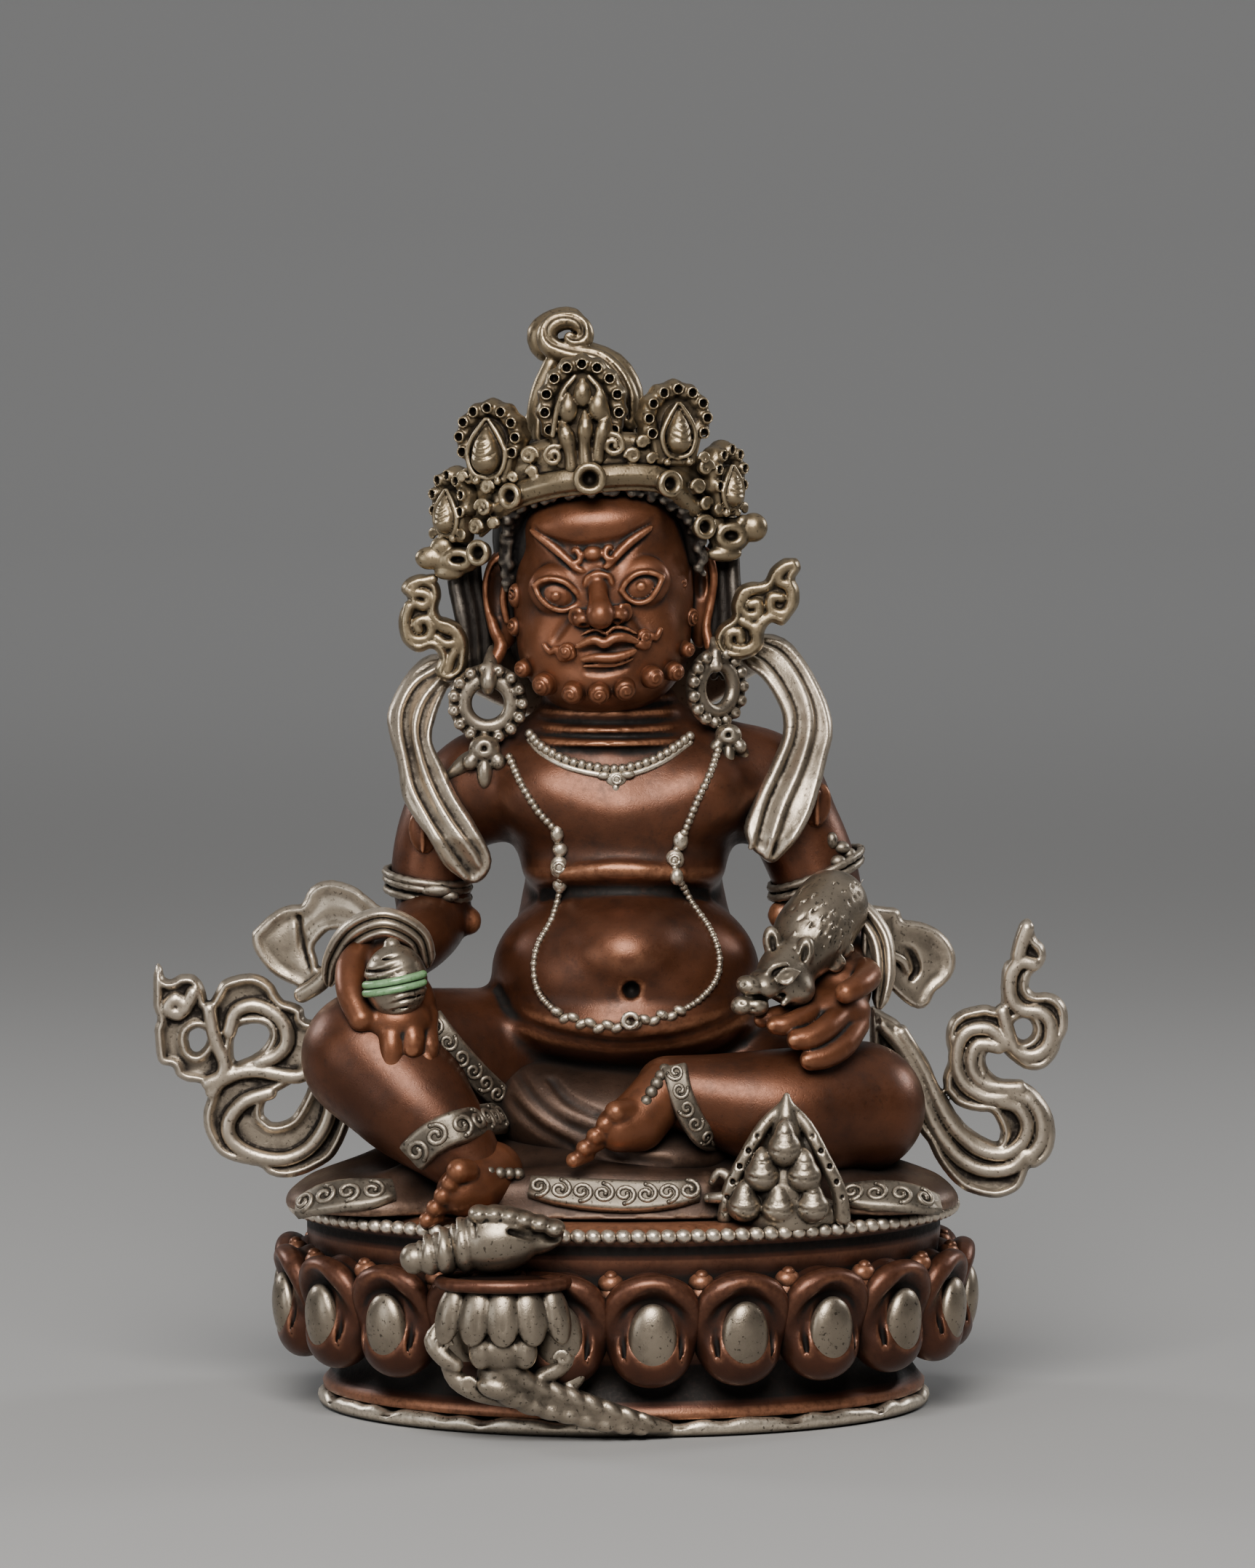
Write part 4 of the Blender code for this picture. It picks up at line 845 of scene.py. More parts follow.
def curls(head):
    """The spiral knobs of the beard, the side whiskers and the ends of the moustache."""
    clay = Clay((-13, -14, 73), (9, -2, 88.5), 0.13)
    for i, (x, z, radius) in enumerate(CURLS):
        out = unit(np.array((0.09 * (x + 2.1), -1, -0.18)))
        root = np.array((x, float(head.front(x, z + 0.5)) + 0.3, z))
        tip = root + out * 0.75
        clay.rod([(*root, radius * 1.12), (*(root + out * 0.5), radius * 0.96), (*tip, radius)], 0.1, soft=1)
        spiral(clay, tip, out, radius, -1 if i % 2 else 1)
    for x, y, z, tall in ((-11.2, -4.6, 85.2, 1.3), (-11.3, -3.8, 81.9, 1.0), (5.8, -5.6, 86.4, 0.95),
                          (7.0, -3.9, 82.9, 1.0)):
        clay.ball((x, y, z), (0.85, 0.95, tall), 0.1)
        spiral(clay, np.array((x, y, z)), (0.12 * (x + 2.1), -1, 0), 0.85, 1)
    for rows, knob, way in (([(-5.4, 79.4), (-6.3, 79.0), (-6.9, 79.9), (-7.6, 79.6), (-8.2, 80.3)],
                             (-5.8, 79.7, 0.95), -1),
                            ([(1.6, 80.5), (2.3, 80.3), (2.7, 81.3), (3.3, 81.1), (3.8, 81.9)],
                             (2.1, 81.2, 0.88), 1)):
        path = resample([(x, 0, z) for x, z in rows], 0.25)
        depth = head.front(path[:, 0], path[:, 2]) - 0.3
        wire = np.linspace(0.56, 0.3, len(path))
        clay.rod(np.column_stack((path[:, 0], depth, path[:, 2], wire)), 0.1, False, 1)
        x, z, radius = knob
        at = np.array((x, float(head.front(x, z)) - 0.15, z))
        clay.ball(at, radius, 0.1)
        spiral(clay, at, (0.1 * (x + 2), -1, 0), radius, way)
    clay.piece("beard_curls", "face")


def hair():
    """Dark hair: the dome, a rough strip round the face and the strands behind the ears."""
    clay = Clay((-19, -13, 75), (13.5, 14, 103.8), 0.25)
    clay.ball((-3.0, 2.0, 91), (10.8, 10.4, 11), 1)
    clay.ball((-2.8, 4.6, 81.5), (9.6, 7.0, 8), 1.5)
    clay.ball((-3.4, 1.0, 97.8), (10.8, 9.9, 5.2), 1.5)
    clay.rod([(-11.4, -3.2, 87.5, 1.0), (-11.7, -4.4, 91.6, 1.1), (-10.8, -6.2, 94.8, 1.2),
              (-7.2, -8.2, 96.5, 1.1), (-3.0, -9.0, 97.1, 1.0), (1.0, -8.2, 97.2, 1.1),
              (4.8, -6.4, 95.8, 1.2), (7.0, -4.4, 92.6, 1.1), (7.6, -3.6, 89, 1.0)], 0.5)
    for angle in np.radians(np.arange(-10, 191, 8)):
        x, y = math.cos(angle), math.sin(angle)
        rows = [(-3.2 + 5.5 * x, 2.4 + 5.5 * y, 102.0, 0.3), (-3.2 + 10.4 * x, 2.0 + 9.9 * y, 96, 0.45),
                (-3.0 + 11.1 * x, 2.3 + 10.4 * y, 90, 0.5), (-2.9 + 10.2 * x, 3.4 + 8.6 * y, 83, 0.5),
                (-2.8 + 9.0 * x, 4.4 + 7.3 * y, 77.5, 0.4)]
        clay.rod(rows, 0.3, True)
    for x, middle, low, side in ((-16.6, -15.8, -15.4, -1), (10.4, 10.6, 9.9, 1)):
        for i in range(3):
            out = side * (1.0 * i - 1)
            clay.rod([(x + out, 0.6 - 0.5 * i, 90, 0.7), (x + out, 0.2 - 0.5 * i, 86.5, 0.85),
                      (middle + out, -0.2 - 0.5 * i, 82.6, 0.85), (low + out, -0.4 - 0.4 * i, 78.6, 0.75),
                      (low + out - side * 0.5, -0.2, 76.4, 0.4)], 0.15)
    edge = resample([(-12.0, -4.4, 86.6), (-12.2, -5.8, 91.2), (-11.2, -7.8, 94.6), (-7.2, -9.8, 96.3),
                     (-3, -10.4, 96.8), (1.2, -9.7, 96.8), (5.2, -7.8, 95.2), (7.6, -5.6, 92),
                     (8.1, -4.8, 88.2)], 0.8)
    for i, (x, y, z) in enumerate(edge):
        for row in range(4):
            side = 0.35 * math.sin(2.4 * i + 1.9 * row)
            spot = (x + side, y + 0.2 * row + 0.15 * math.cos(3.1 * i + row), z + 1.1 - row * 0.62)
            clay.ball(spot, 0.4 + 0.09 * ((2 * i + row) % 3), 0.06)
    clay.piece("hair", "dark")


class Leaf:
    """A frame of directions for one upright leaf of the crown, turned about Z."""

    def __init__(self, clay, centre, turn):
        self.clay = clay
        self.centre = np.array(centre)
        self.turn = turn
        self.spin = rotation((0, 0, turn))

    def place(self, across, up, out):
        return self.centre + self.spin @ np.array((across, -out, 0.0)) + np.array((0, 0, up))

    def ball(self, across, up, out, radii, blend=0.15, carve=False):
        self.clay.ball(self.place(across, up, out), radii, blend, (0, 0, self.turn), carve)

    def rod(self, rows, blend=0.15, carve=False, soft=3):
        rows = [(*self.place(across, up, out), radius) for across, up, out, radius in rows]
        self.clay.rod(rows, blend, carve, soft)

    def coil(self, across, up, out, radius, wire, way=1, start=0.0, turns=1.4):
        """A spiral wire."""
        rows = []
        for turn in np.linspace(0, 2 * math.pi * turns, int(14 * turns)):
            reach = radius * (1 - 0.78 * turn / (2 * math.pi * turns))
            aside = across + way * reach * math.cos(turn + start)
            rows.append((aside, up + reach * math.sin(turn + start), out, wire))
        self.rod(rows, 0.08, soft=1)

    def hoop(self, centre, radii, wire, blend=0.15, count=25):
        """An oval wire ring."""
        rows = []
        for angle in np.linspace(0, 2 * math.pi, count):
            across = centre[0] + radii[0] * math.cos(angle)
            rows.append((across, centre[1] + radii[1] * math.sin(angle), centre[2], wire))
        self.rod(rows, blend, soft=1)

    def boss(self, radius, hole):
        """A round boss with a raised lip and a deep hole."""
        self.ball(0, 0, 0, (radius * 0.95, 0.8, radius * 0.95))
        self.hoop((0, 0, 0.65), (0.82 * radius, 0.82 * radius), 0.28 * radius, 0.1, 17)
        self.ball(0, 0, 0.9, (hole, 1.3, hole), 0.1, True)


# The scalloped edge of a leaf starts low on its right and goes round over its tip, in degrees.
LEAF_START = -42
LEAF_TURN = 264


def leaf_outline(half_width, low, high, count):
    """The scalloped outline of a crown leaf, and the places of its drilled dots."""
    middle, half_height = 0.45 * low + 0.55 * high, 0.55 * (high - low)
    outline, dots = [], []
    for share in np.linspace(0, 1, 4 * count + 1):
        angle = math.radians(LEAF_START + LEAF_TURN * share)
        swell = 1 + 0.035 * math.cos(2 * math.pi * (count * share - 0.5))
        swell += 0.05 * max(math.sin(angle), 0) ** 8
        up = math.sin(angle) * (half_height if angle > 0 else 0.82 * half_height)
        outline.append((half_width * swell * math.cos(angle), middle + swell * up * 0.82))
    for i in range(count):
        angle = math.radians(LEAF_START + LEAF_TURN * (i + 0.5) / count)
        up = math.sin(angle) * 0.82 * half_height
        dots.append(((half_width - 0.85) * math.cos(angle), middle + up * (1 - 0.9 / half_height)))
    foot = [(-0.55 * half_width, low), (0, low - 0.2), (0.55 * half_width, low)]
    return outline + foot, dots


def leaf_plate(inside):
    edge = np.sqrt(np.clip(1 - (1 - np.clip(inside / 0.55, 0, 1)) ** 2, 0, 1))
    return 1.15 * edge - 0.42 * np.clip((inside - 1.45) / 0.35, 0, 1)


def leaf_blank(half_width, low, high, count, size=0.44):
    clay = Clay((-half_width - 0.8, -3.6, low - 1), (half_width + 0.8, 1.8, high + 1.2), 0.15)
    outline, dots = leaf_outline(half_width, low, high, count)
    clay.plate(outline, (), 0.2, leaf_plate)
    for across, up in dots:
        clay.ball((across, -1.15, up), (size * 1.45, 0.5, size * 1.45), 0.3)
    for across, up in dots:
        clay.ball((across, -1.5, up), (size, 1.15, size), 0.12, carve=True)
    return clay


def engraved(clay, middle, level, span, rise, radius, blend):
    """A bow-shaped groove cut into the front."""
    rows = []
    for share in (-1, -0.5, 0, 0.5, 1):
        x = middle + span * share
        rows.append((x, float(clay.front(x, level)), level + rise * share * share, radius))
    clay.rod(rows, blend, True)


def jewel_leaf(half_width, low, high, jewel, up, count=9):
    """A crown leaf with a drop jewel inside a flame."""
    clay = leaf_blank(half_width, low, high, count)
    leaf = Leaf(clay, (0, -0.6, 0), 0)
    w, h = jewel
    leaf.ball(0, up, 0.1, (1.3 * w, 0.9, 1.25 * h), 0.2)
    leaf.rod([(0, up - 0.36 * h, 0.7, 1.0 * w), (0, up + 0.15 * h, 0.8, 0.8 * w),
              (0, up + 0.85 * h, 0.8, 0.3)], 0.2)
    for side in (-1, 1):
        leaf.rod([(0, up - 1.18 * h, 0.5, 0.2), (side * 0.95 * w, up - 0.95 * h, 0.7, 0.26),
                  (side * 1.38 * w, up - 0.2 * h, 0.75, 0.28), (side * 0.95 * w, up + 0.55 * h, 0.8, 0.28),
                  (side * 0.15, up + 1.3 * h, 0.7, 0.2)], 0.1)
        leaf.coil(side * 0.72 * half_width, low + 0.7, 0.55, 0.62, 0.2, -side)
        leaf.ball(side * 0.3 * half_width, low + 0.3, 0.6, (0.42, 0.4, 0.42))
    for i in range(4):
        span, level = w * (0.42 + 0.14 * i), up + (0.5 - 0.27 * i) * h
        engraved(clay, 0, level, span, 0.34 * w, 0.15, 0.05)
    return clay


def middle_leaf():
    clay = leaf_blank(4.7, -5.8, 5.9, 11)
    leaf = Leaf(clay, (0, -0.6, 0), 0)
    for rows in ([(-2.1, -0.9, 0.7, 0.35), (-1.6, -2.2, 0.9, 0.9), (-1.2, -3.8, 0.9, 0.66),
                  (-1.0, -5.4, 0.8, 0.8)],
                 [(0.3, 0.2, 0.8, 0.3), (0.35, -1.4, 1.0, 0.85), (0.25, -3.0, 0.9, 0.66),
                  (0.45, -5.4, 0.8, 0.95)],
                 [(2.5, -0.2, 0.7, 0.35), (2.1, -1.6, 0.9, 0.75), (1.75, -3.0, 0.9, 0.6),
                  (1.6, -4.6, 0.8, 0.7)]):
        leaf.rod(rows, 0.12)
    for across, up, wide, tall in ((-1.4, 0.5, 1.0, 1.4), (0.05, 2.1, 0.95, 1.35), (1.65, 0.7, 1.0, 1.4)):
        leaf.ball(across, up, 0.85, (wide, 0.75, tall), 0.12)
        leaf.ball(across, up + 0.95 * tall, 0.75, (0.36, 0.45, 0.42), 0.12)
    for side in (-1, 1):
        leaf.rod([(side * 3.0, -2.2, 0.7, 0.3), (side * 2.6, 0.2, 0.8, 0.32), (side * 1.9, 2.4, 0.8, 0.32),
                  (side * 0.7, 3.9, 0.7, 0.25)], 0.1)
    leaf.coil(-2.9, -4.3, 0.85, 1.1, 0.3, 1, 1.0)
    leaf.coil(3.2, -3.2, 0.85, 1.25, 0.32, -1, 1.0)
    return clay


def crown():
    """The five leaves, the wall they stand on, the band, its bosses and the rosettes."""
    pile = Pile()
    for clay, centre, turn in ((middle_leaf(), (-4.3, -9.3, 104.2), 0),
                               (jewel_leaf(4.1, -4.3, 4.3, (1.35, 2.3), -0.9), (5.2, -8.0, 103.2), 22),
                               (jewel_leaf(4.1, -4.3, 4.3, (1.6, 2.5), -0.8), (-13.6, -7.0, 101.2), -26),
                               (jewel_leaf(3.1, -3.8, 3.8, (1.2, 1.85), -1.0, 7), (10.3, -4.0, 97.3), 52),
                               (jewel_leaf(3.2, -3.8, 3.8, (1.3, 1.95), -1.0, 7), (-17.5, -3.0, 94.6), -48)):
        places, faces = clay.surface()
        pile.add(relax(places, faces, 1) @ rotation((0, 0, turn)).T + np.array(centre), faces)
    pile.piece("crown_leaves", "gilt")
    clay = Clay((-22.5, -14, 86.2), (16, 3, 102.6), 0.17)
    crown_wall(clay)
    crown_band(clay)
    rosettes(clay)
    clay.piece("crown_band", "gilt")


def crown_wall(clay):
    """The wall between the leaves, with curls and balls on it."""
    route = [(-18.0, -0.4, 91.0), (-15.6, -4.0, 93.6), (-11.8, -7.4, 96.6), (-7.6, -9.2, 98.2),
             (-3.5, -9.9, 98.8), (0.6, -9.4, 98.8), (4.8, -8.0, 98.0), (8.2, -5.0, 95.4),
             (10.8, -1.6, 92.6)]
    for lift in (0.0, 1.3, 2.5):
        clay.rod([(x, y + 0.5 + 0.12 * lift, z + lift, 1.0) for x, y, z in route], 0.3)
    for x, y, z, turn, radius, way in ((-9.7, -9.6, 99.9, -12, 0.95, 1), (-9.4, -9.5, 98.2, -12, 0.6, -1),
                                       (0.9, -10.3, 99.9, 8, 0.8, -1), (1.9, -9.9, 101.3, 12, 0.65, 1),
                                       (8.4, -7.2, 98.6, 30, 0.85, 1), (7.6, -7.4, 96.6, 30, 0.8, -1),
                                       (8.4, -6.4, 94.8, 34, 0.7, 1), (-15.9, -6.0, 97.6, -34, 0.85, -1),
                                       (-14.0, -7.4, 96.6, -30, 0.8, 1), (-14.4, -7.0, 94.4, -34, 0.95, -1),
                                       (-15.2, -6.2, 92.4, -34, 0.85, 1), (-13.4, -7.2, 92.8, -30, 0.6, 1)):
        leaf = Leaf(clay, (x, y, z), turn)
        leaf.ball(0, 0, -0.2, (radius, 0.5, radius))
        leaf.coil(0, 0, 0.3, radius, 0.27, way)


def crown_band(clay):
    route = [(-14.8, -4.6, 92.8), (-11.6, -8.3, 95.6), (-7.6, -10.4, 97.0), (-3.5, -11.1, 97.6),
             (0.6, -10.5, 97.9), (4.4, -9.3, 97.3), (8.2, -5.2, 93.6)]
    for lift, back, radius in ((0.65, 0.25, 0.55), (0.0, 0.1, 0.65), (-0.65, 0.25, 0.5)):
        clay.rod([(x, y + back, z + lift, radius) for x, y, z in route], 0.3)
    clay.rod([(x, y + 0.6, z - 1.35, 0.3) for x, y, z in route], 0.15)
    for centre, turn, radius, hole in (((-3.5, -11.6, 97.6), 0, 1.6, 0.78),
                                       ((-11.4, -8.8, 95.7), -35, 1.3, 0.64),
                                       ((4.5, -9.8, 97), 30, 1.35, 0.64),
                                       ((-14.8, -5.6, 89.7), -30, 1.3, 0.62),
                                       ((8.1, -5.6, 92.4), 30, 1.25, 0.6)):
        Leaf(clay, centre, turn).boss(radius, hole)


def rosettes(clay):
    """The side rosette and the bow, where the ribbons are tied."""
    right = Leaf(clay, (11.0, -3.6, 91.4), 14)
    right.ball(0, 0, -0.1, (2.3, 0.9, 1.9), 0.3)
    right.hoop((0, 0, 0.5), (1.25, 0.95), 0.55)
    right.ball(0, 0, 1.0, (0.75, 1.1, 0.5), 0.1, True)
    right.ball(-0.6, -1.9, 0.1, (1.9, 0.9, 0.85), 0.2)
    right.ball(-1.5, 1.5, 0.1, (0.9, 0.7, 0.8), 0.2)
    clay.ball((13.5, -2.9, 92.2), (1.5, 1.3, 1.55), 0.2)
    clay.ball((12.3, -3.4, 92.9), (0.7, 0.8, 0.7), 0.2)
    left = Leaf(clay, (-17.6, -3.2, 88.8), -12)
    left.ball(0, 0, 0, (2.7, 0.9, 1.5), 0.3)
    left.hoop((0.5, 0.1, 0.5), (1.2, 0.75), 0.5)
    left.ball(0.5, 0.1, 1.0, (0.75, 1.1, 0.36), 0.1, True)
    left.ball(-2.7, 0.2, 0.1, (1.5, 0.95, 1.2), 0.2)
    left.ball(-1.3, 1.5, 0.1, (1.25, 0.8, 1.0), 0.2)
    left.ball(-0.6, -1.3, 0, (1.6, 0.8, 0.8), 0.2)


def topknot():
    """The tied-up hair and the scroll over it."""
    clay = Clay((-12, -7, 97), (3.5, 6.5, 116), 0.18)
    clay.ball((-4.4, 0, 103.2), (5.2, 5.2, 6.6), 0.5)
    for angle in np.radians(np.arange(0, 360, 24)):
        x, y = math.cos(angle), math.sin(angle)
        clay.rod([(-4.4 + 5.3 * x, 5.3 * y, 98.6, 0.5), (-4.4 + 5.5 * x, 5.5 * y, 103.4, 0.55),
                  (-4.6 + 3.0 * x, 3.2 * y, 108.4, 0.45)], 0.25)
    scroll = [(0.7, -3.6, 103.2, 0.9), (0.6, -4.0, 105.8, 1.0), (-0.6, -3.8, 108.1, 1.05),
              (-2.6, -3.4, 109.7, 1.1), (-5.4, -3.0, 110.2, 1.1), (-7.4, -2.8, 110.9, 1.15),
              (-8.0, -2.6, 112.2, 1.1), (-7.2, -2.6, 113.4, 1.05), (-5.6, -2.6, 113.75, 1.0),
              (-4.3, -2.7, 113.1, 0.95), (-4.0, -2.8, 111.9, 0.9), (-4.9, -3.0, 111.4, 0.8),
              (-5.6, -3.2, 111.9, 0.65)]
    clay.rod(scroll, 0.15)
    clay.rod([(x - 0.2, y - 0.85 * r, z + 0.55 * r, 0.26) for x, y, z, r in scroll], 0.12, True)
    for depth, size, shift in ((-0.4, 1.3, 0.55), (1.8, 1.25, 0.4)):
        back = [(1.0, depth, 103.4, 1.0), (0.9, depth, 106.4, 1.1), (-1.0, depth, 109.2, 1.2),
                (-5.0, depth, 110.4, 1.4), (-8.2, depth, 110.6, 1.2),
                (-8.6 - shift * 0.3, depth, 112.4, size), (-7.2, depth, 113.5 + 0.2 * shift, size),
                (-5.4, depth, 113.9 + 0.1 * shift, size * 0.85), (-4.4, depth, 112.6, 0.9)]
        clay.rod(back, 0.12)
    clay.rod([(-9.0, -2.2, 99.8, 0.8), (-9.3, -2.6, 103.2, 0.85), (-8.8, -2.8, 106.4, 0.85),
              (-7.6, -2.8, 109.2, 0.8)], 0.15)
    clay.piece("topknot", "gilt")


RIBBON_LEFT = [(-20.7, 87.3), (-22.1, 87.1), (-23.0, 86.4), (-23.2, 85.5), (-22.5, 84.6), (-23.3, 83.5),
               (-23.5, 81.9), (-23.0, 80.1), (-21.5, 79.1), (-20.0, 79.5), (-19.3, 78.6), (-19.7, 77.4),
               (-19.3, 76.4), (-18.0, 76.0), (-16.6, 77.0), (-16.2, 78.6), (-16.2, 80.5), (-17.0, 82.0),
               (-18.2, 82.7), (-19.1, 83.0), (-19.3, 83.9), (-19.0, 85.1), (-19.4, 86.5)]
LEFT_CURLS = ([(-19.9, 86.8), (-21.6, 86.4), (-22.0, 85.4), (-21.0, 85.4), (-20.2, 84.9), (-20.8, 84.0),
               (-21.7, 84.3)],
              [(-22.4, 84.0), (-22.7, 82.2), (-22.0, 80.6), (-20.6, 80.6), (-20.0, 81.6), (-20.6, 82.6),
               (-21.6, 82.3), (-21.4, 81.6)],
              [(-20.0, 83.2), (-19.0, 81.8), (-17.6, 81.2), (-17.3, 79.8), (-18.0, 78.6), (-18.4, 77.2)],
              [(-19.4, 80.6), (-18.4, 80.0), (-17.0, 80.4)])
RIBBON_RIGHT = [(18.0, 89.0), (18.5, 87.9), (17.9, 86.8), (18.3, 85.8), (18.3, 84.2), (17.6, 83.0),
                (16.6, 81.9), (15.4, 82.2), (14.7, 81.2), (14.6, 79.8), (13.5, 78.7), (11.9, 78.3),
                (10.0, 78.8), (9.3, 80.5), (10.0, 82.0), (11.2, 82.9), (11.2, 84.2), (11.9, 85.9),
                (13.2, 86.5), (14.6, 86.6), (15.4, 88.0), (16.8, 89.0)]
RIGHT_CURLS = ([(17.5, 88.4), (16.4, 87.6), (16.2, 86.6), (17.2, 86.0), (17.5, 84.6), (16.7, 83.2),
                (15.4, 83.6), (15.4, 84.9), (16.4, 84.9)],
               [(14.8, 86.0), (13.0, 85.5), (12.2, 84.2), (12.9, 83.0), (14.0, 83.2), (14.0, 84.3),
                (13.2, 84.2)],
               [(12.4, 82.4), (13.6, 81.6), (13.7, 80.2), (12.4, 79.4), (11.0, 79.9), (11.0, 81.1),
                (12.0, 81.3), (12.2, 80.5)], [(15.3, 83.0), (14.2, 82.2), (13.6, 81.2)])


def ribbons():
    """The curling ribbons at the sides of the head."""
    for name, outline, curled in (("head_ribbon_left", RIBBON_LEFT, LEFT_CURLS),
                                  ("head_ribbon_right", RIBBON_RIGHT, RIGHT_CURLS)):
        spots = np.array(outline)
        clay = Clay((spots[:, 0].min() - 0.6, -4.4, spots[:, 1].min() - 0.6),
                    (spots[:, 0].max() + 0.6, 0.8, spots[:, 1].max() + 0.6), 0.16)
        clay.plate(outline, (), -1.8, fluted)
        ridges(clay, -1.8, 1.1, 0.55, curled)
        clay.piece(name, "gilt")


def ring_of(centre, radius, wire, turn=0.0):
    """The rows of a round wire ring that faces the front, turned about Z."""
    spin = rotation((0, 0, turn))
    rows = []
    for angle in np.linspace(0, 2 * math.pi, 33):
        spot = spin @ np.array((radius * math.cos(angle), 0, radius * math.sin(angle)))
        rows.append((*(np.array(centre) + spot), wire))
    return rows


def earrings():
    clay = Clay((-19.5, -7.5, 64), (15, 1.5, 80.8), 0.16)
    for centre, turn, radius in (((-14.15, -3.4, 73.9), 0, 2.45), ((9.6, -3.0, 75.5), 44, 2.5)):
        clay.rod(ring_of(centre, radius, 0.78, turn), 0.1, soft=1)
        outer = np.array(ring_of((centre[0], centre[1] + 0.4, centre[2]), radius + 1.05, 0.62, turn))
        clay.rod(outer, 0.15, soft=1)
        spin = rotation((0, 0, turn))
        for angle in np.radians(np.arange(0, 360, 24)):
            reach = radius + 1.15
            spot = np.array(centre) + spin @ np.array((reach * math.cos(angle), -0.35, reach
                                                       * math.sin(angle)))
            clay.ball(spot, 0.66, 0.06)
            clay.ball(spot + spin @ np.array((0, -0.62, 0)), 0.2, 0.05, carve=True)
    clay.rod([(-13.7, -1.4, 79.4, 0.5), (-13.9, -3.0, 78.2, 0.75), (-14.1, -4.2, 76.4, 0.85),
              (-14.15, -4.0, 75.4, 0.6)], 0.1)
    clay.rod([(9.2, -2.2, 80.6, 0.45), (9.5, -3.4, 79.2, 0.55), (9.6, -4.0, 77.8, 0.7)], 0.1)
    pendant(clay, (-14.5, -4.4, 69.2), 1.1)
    pendant(clay, (10.9, -4.4, 70.6), 0.95)
    clay.rod([(-15.2, -3.8, 68.6, 0.8), (-16.6, -3.4, 67.6, 0.95), (-18.2, -3.0, 66.3, 0.5)], 0.2)
    clay.rod([(11.4, -3.8, 69.6, 0.7), (12.2, -3.6, 68.8, 0.8), (12.8, -3.4, 68.0, 0.4)], 0.2)
    clay.piece("earrings", "antique")


def pendant(clay, centre, size):
    x, y, z = centre
    clay.ball((x, y, z), (1.5 * size, 1.0, 1.3 * size), 0.2)
    clay.rod(ring_of((x, y - 0.7, z + 0.1), 0.62 * size, 0.3), 0.08, soft=1)
    clay.ball((x, y - 1.0, z + 0.1), (0.3 * size, 0.5, 0.3 * size), 0.06, carve=True)
    for side in (-1, 0, 1):
        clay.ball((x + side * 1.3 * size, y - 0.1, z - (2.3 if side == 0 else 1.2) * size),
                  (0.75 * size, 0.8, (1.5 if side == 0 else 0.85) * size), 0.15, (0, -24 * side, 0))


SCARF_LEFT = [(-18.5, 78.4), (-20.5, 78.6), (-22.5, 77.0), (-24.0, 74.6), (-24.8, 72.3), (-24.4, 69.9),
              (-23.6, 67.2), (-23.1, 64.1), (-21.7, 61.7), (-20.4, 60.0), (-18.9, 57.3), (-17.2, 55.8),
              (-15.8, 55.1), (-14.6, 55.6), (-13.8, 57.0), (-14.0, 58.7), (-15.6, 61.7), (-17.3, 64.3),
              (-18.7, 67.2), (-20.0, 69.9), (-19.6, 72.3), (-18.5, 75.0), (-17.0, 76.7)]
LEFT_FLUTES = ([(-18.8, 77.6), (-21.2, 76.0), (-22.6, 73.6), (-22.8, 71.2), (-22.2, 68.4), (-21.4, 65.2),
                (-19.8, 62.2), (-17.9, 59.2), (-15.8, 56.0)],
               [(-18.0, 76.9), (-20.2, 74.4), (-21.1, 71.6), (-20.6, 68.6), (-19.2, 65.0), (-17.4, 61.9),
                (-15.2, 58.9), (-14.4, 57.4)])
SCARF_RIGHT = [(11.4, 79.8), (14.4, 80.8), (16.9, 80.3), (18.8, 78.4), (20.6, 75.4), (21.6, 72.9),
               (21.9, 70.6), (21.3, 68.2), (20.5, 65.1), (19.7, 62.7), (18.5, 60.4), (17.2, 58.7),
               (15.5, 57.3), (14.1, 58.1), (13.0, 59.3), (12.5, 61.0), (13.3, 63.4), (14.4, 65.8),
               (15.4, 67.8), (16.5, 70.2), (16.6, 72.3), (15.8, 74.3), (14.4, 76.3), (12.6, 77.6)]
RIGHT_FLUTES = ([(14.4, 80.0), (16.9, 79.0), (18.9, 76.4), (20.1, 73.4), (20.1, 70.7), (18.9, 67.0),
                 (17.4, 63.6), (16.3, 60.4), (15.6, 58.2)],
                [(13.2, 79.0), (15.2, 78.0), (17.0, 75.8), (18.2, 73.1), (18.1, 70.7), (16.9, 67.6),
                 (15.4, 64.4), (14.5, 61.5), (13.9, 59.2)])


def scarf_depth(x, z):
    """The scarf lies behind the shoulder at its top and on the chest's side at its end."""
    fall = np.interp(z, (55, 60, 66, 72, 77, 81), (-4.6, -5.4, -4.0, -1.2, 1.6, 4.0))
    return fall + 0.16 * np.maximum(np.abs(x) - 19, 0) ** 1.3


